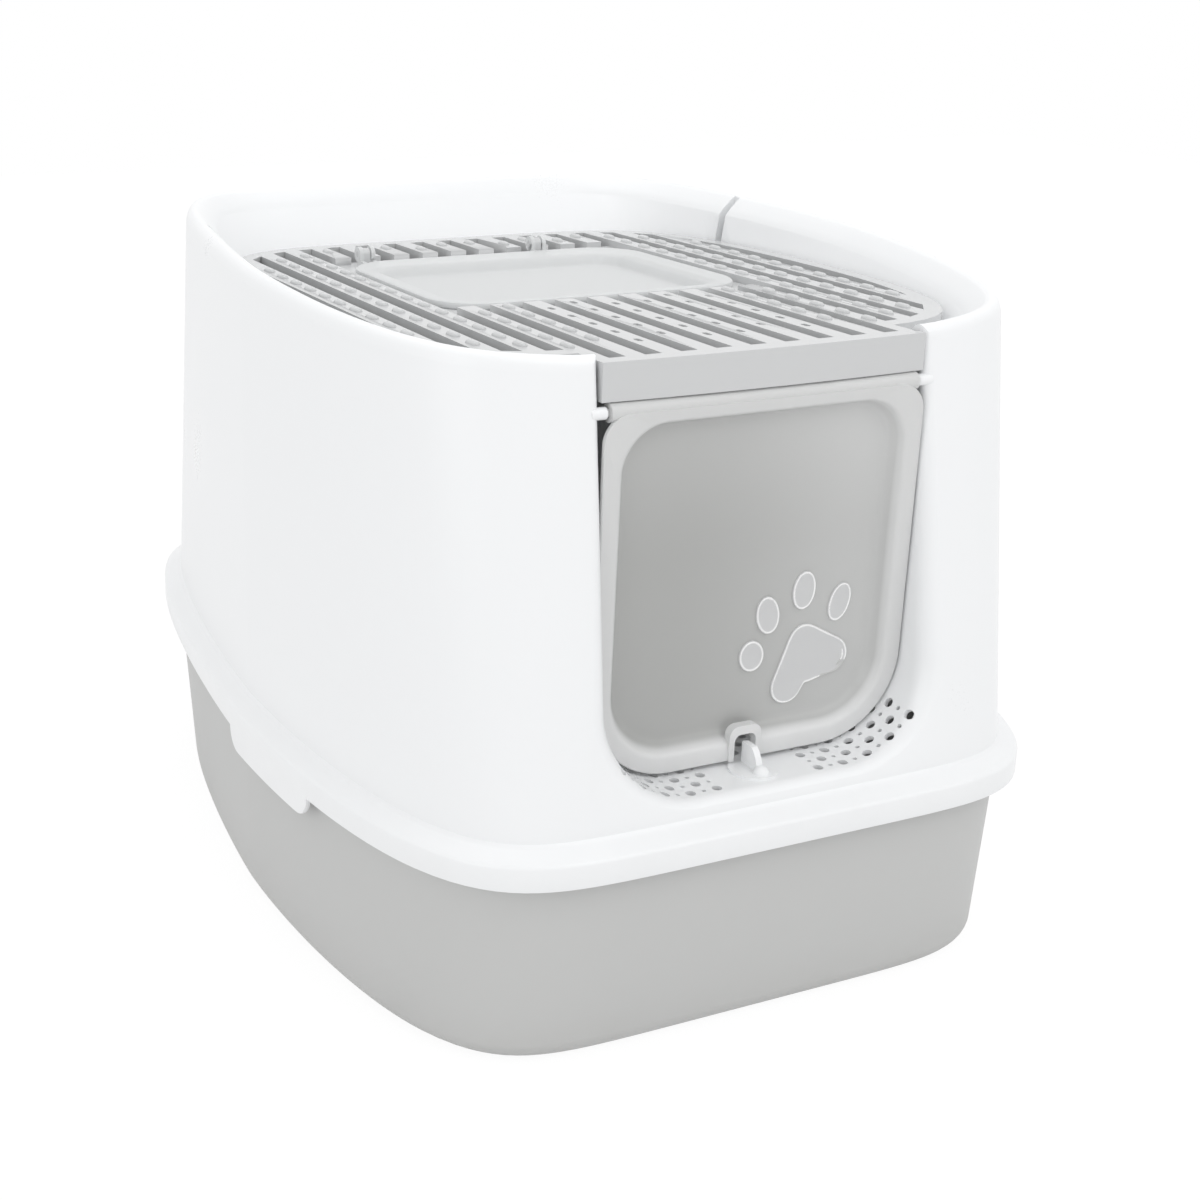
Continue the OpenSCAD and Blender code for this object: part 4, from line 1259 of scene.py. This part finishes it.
class LITTERBOX_OT_stage(bpy.types.Operator):
    """Set the pale floor, the soft lamps and the camera"""

    bl_idname = "litterbox.stage"
    bl_label = "Stage"

    def execute(self, context):
        self.floor(context)
        self.sky(context)
        self.lamps(context)
        self.camera(context)
        context.scene.view_settings.view_transform = "Standard"
        return {"FINISHED"}

    def floor(self, context):
        half = context.scene.litter_box_stage.floor_size / 2
        mesh = bpy.data.meshes.new("floor")
        corners = [(-half, -half, 0), (half, -half, 0), (half, half, 0), (-half, half, 0)]
        mesh.from_pydata(corners, [], [(0, 1, 2, 3)])
        floor = bpy.data.objects.new("floor", mesh)
        context.scene.collection.objects.link(floor)
        material = bpy.data.materials.new("pale_floor")
        material.use_nodes = True
        tree = material.node_tree
        tree.nodes.clear()
        matte = put(tree, "ShaderNodeBsdfDiffuse", -200, 0, {"Color": (0.86, 0.86, 0.86, 1)})
        glow = put(tree, "ShaderNodeEmission", -200, -200, {"Strength": 1.05})
        mix = seen_white(tree, matte.outputs[0], 0.88)
        feed(tree, mix, {2: glow.outputs[0]})
        put(tree, "ShaderNodeOutputMaterial", 500, 0, {"Surface": mix.outputs[0]})
        mesh.materials.append(material)

    def sky(self, context):
        world = bpy.data.worlds.new("studio")
        context.scene.world = world
        world.use_nodes = True
        tree = world.node_tree
        tree.nodes.clear()
        sky = {"Color": (1, 1, 1, 1), "Strength": context.scene.litter_box_stage.sky}
        light = put(tree, "ShaderNodeBackground", -200, 0, sky)
        white = put(tree, "ShaderNodeBackground", -200, -200, {"Color": (1, 1, 1, 1)})
        mix = seen_white(tree, light.outputs[0], 1.0)
        feed(tree, mix, {2: white.outputs[0]})
        put(tree, "ShaderNodeOutputWorld", 500, 0, {"Surface": mix.outputs[0]})

    def lamps(self, context):
        rows = [
            ("key_lamp", (0.9, -1.5, 1.9), (0, 0, 0.15), 1.6, 11.0),
            ("fill_lamp", (-1.9, -1.1, 0.9), (0, 0, 0.15), 1.4, 6.5),
            ("top_lamp", (0.0, 0.5, 2.2), (0, 0, 0.2), 1.6, 9.5),
        ]
        for name, place, aim, side, watts in rows:
            lamp = bpy.data.lights.new(name, "AREA")
            lamp.size = side
            lamp.energy = watts
            holder = bpy.data.objects.new(name, lamp)
            context.scene.collection.objects.link(holder)
            holder.location = place
            holder.rotation_euler = (Vector(aim) - Vector(place)).to_track_quat("-Z", "Y").to_euler()

    def camera(self, context):
        stage = context.scene.litter_box_stage
        az, el, roll = stage.azimuth, stage.elevation, stage.roll
        back = Vector((math.sin(az) * math.cos(el), -math.cos(az) * math.cos(el), math.sin(el)))
        right = Vector((0, 0, 1)).cross(back).normalized()
        up = back.cross(right)
        turned = right * math.cos(roll) + up * math.sin(roll)
        raised = up * math.cos(roll) - right * math.sin(roll)
        view = Matrix((turned, raised, back)).transposed().to_4x4()
        view.translation = Vector(stage.place)
        data = bpy.data.cameras.new("camera")
        data.lens = stage.lens
        data.sensor_width = 36.0
        data.sensor_fit = "HORIZONTAL"
        data.shift_x, data.shift_y = stage.shift
        data.clip_start = 0.02
        camera = bpy.data.objects.new("camera", data)
        camera.matrix_world = view
        context.scene.collection.objects.link(camera)
        context.scene.camera = camera


class LITTERBOX_PT_panel(bpy.types.Panel):
    """Lists the steps that build the litter box"""

    bl_idname = "LITTERBOX_PT_panel"
    bl_label = "Litter box"
    bl_space_type = "VIEW_3D"
    bl_region_type = "UI"
    bl_category = "Litter box"

    def draw(self, context):
        for step in STEPS:
            self.layout.operator(step.bl_idname)
        for group in ("litter_box_finish", "litter_box_plan", "litter_box_nubs", "litter_box_stage"):
            holder = getattr(context.scene, group)
            box = self.layout.box()
            for key in holder.__annotations__:
                box.prop(holder, key)


STEPS = (
    LITTERBOX_OT_tray,
    LITTERBOX_OT_hood,
    LITTERBOX_OT_lid,
    LITTERBOX_OT_nubs,
    LITTERBOX_OT_flap,
    LITTERBOX_OT_door,
    LITTERBOX_OT_catch,
    LITTERBOX_OT_stage,
)
GROUPS = (LitterBoxFinish, LitterBoxPlan, LitterBoxNubs, LitterBoxStage)


def register():
    """Adds the classes and the scene's settings."""
    for part in (*GROUPS, *STEPS, LITTERBOX_PT_panel):
        bpy.utils.register_class(part)
    scene = bpy.types.Scene
    scene.litter_box_finish = bpy.props.PointerProperty(type=LitterBoxFinish)
    scene.litter_box_plan = bpy.props.PointerProperty(type=LitterBoxPlan)
    scene.litter_box_nubs = bpy.props.PointerProperty(type=LitterBoxNubs)
    scene.litter_box_stage = bpy.props.PointerProperty(type=LitterBoxStage)


def unregister():
    """Removes the classes and the scene's settings."""
    scene = bpy.types.Scene
    del scene.litter_box_stage, scene.litter_box_nubs, scene.litter_box_plan, scene.litter_box_finish
    for part in reversed((*GROUPS, *STEPS, LITTERBOX_PT_panel)):
        bpy.utils.unregister_class(part)


def main():
    """Builds every piece and the stage."""
    register()
    for step in STEPS:
        family, action = step.bl_idname.split(".")
        getattr(getattr(bpy.ops, family), action)()


if __name__ == "__main__":
    main()
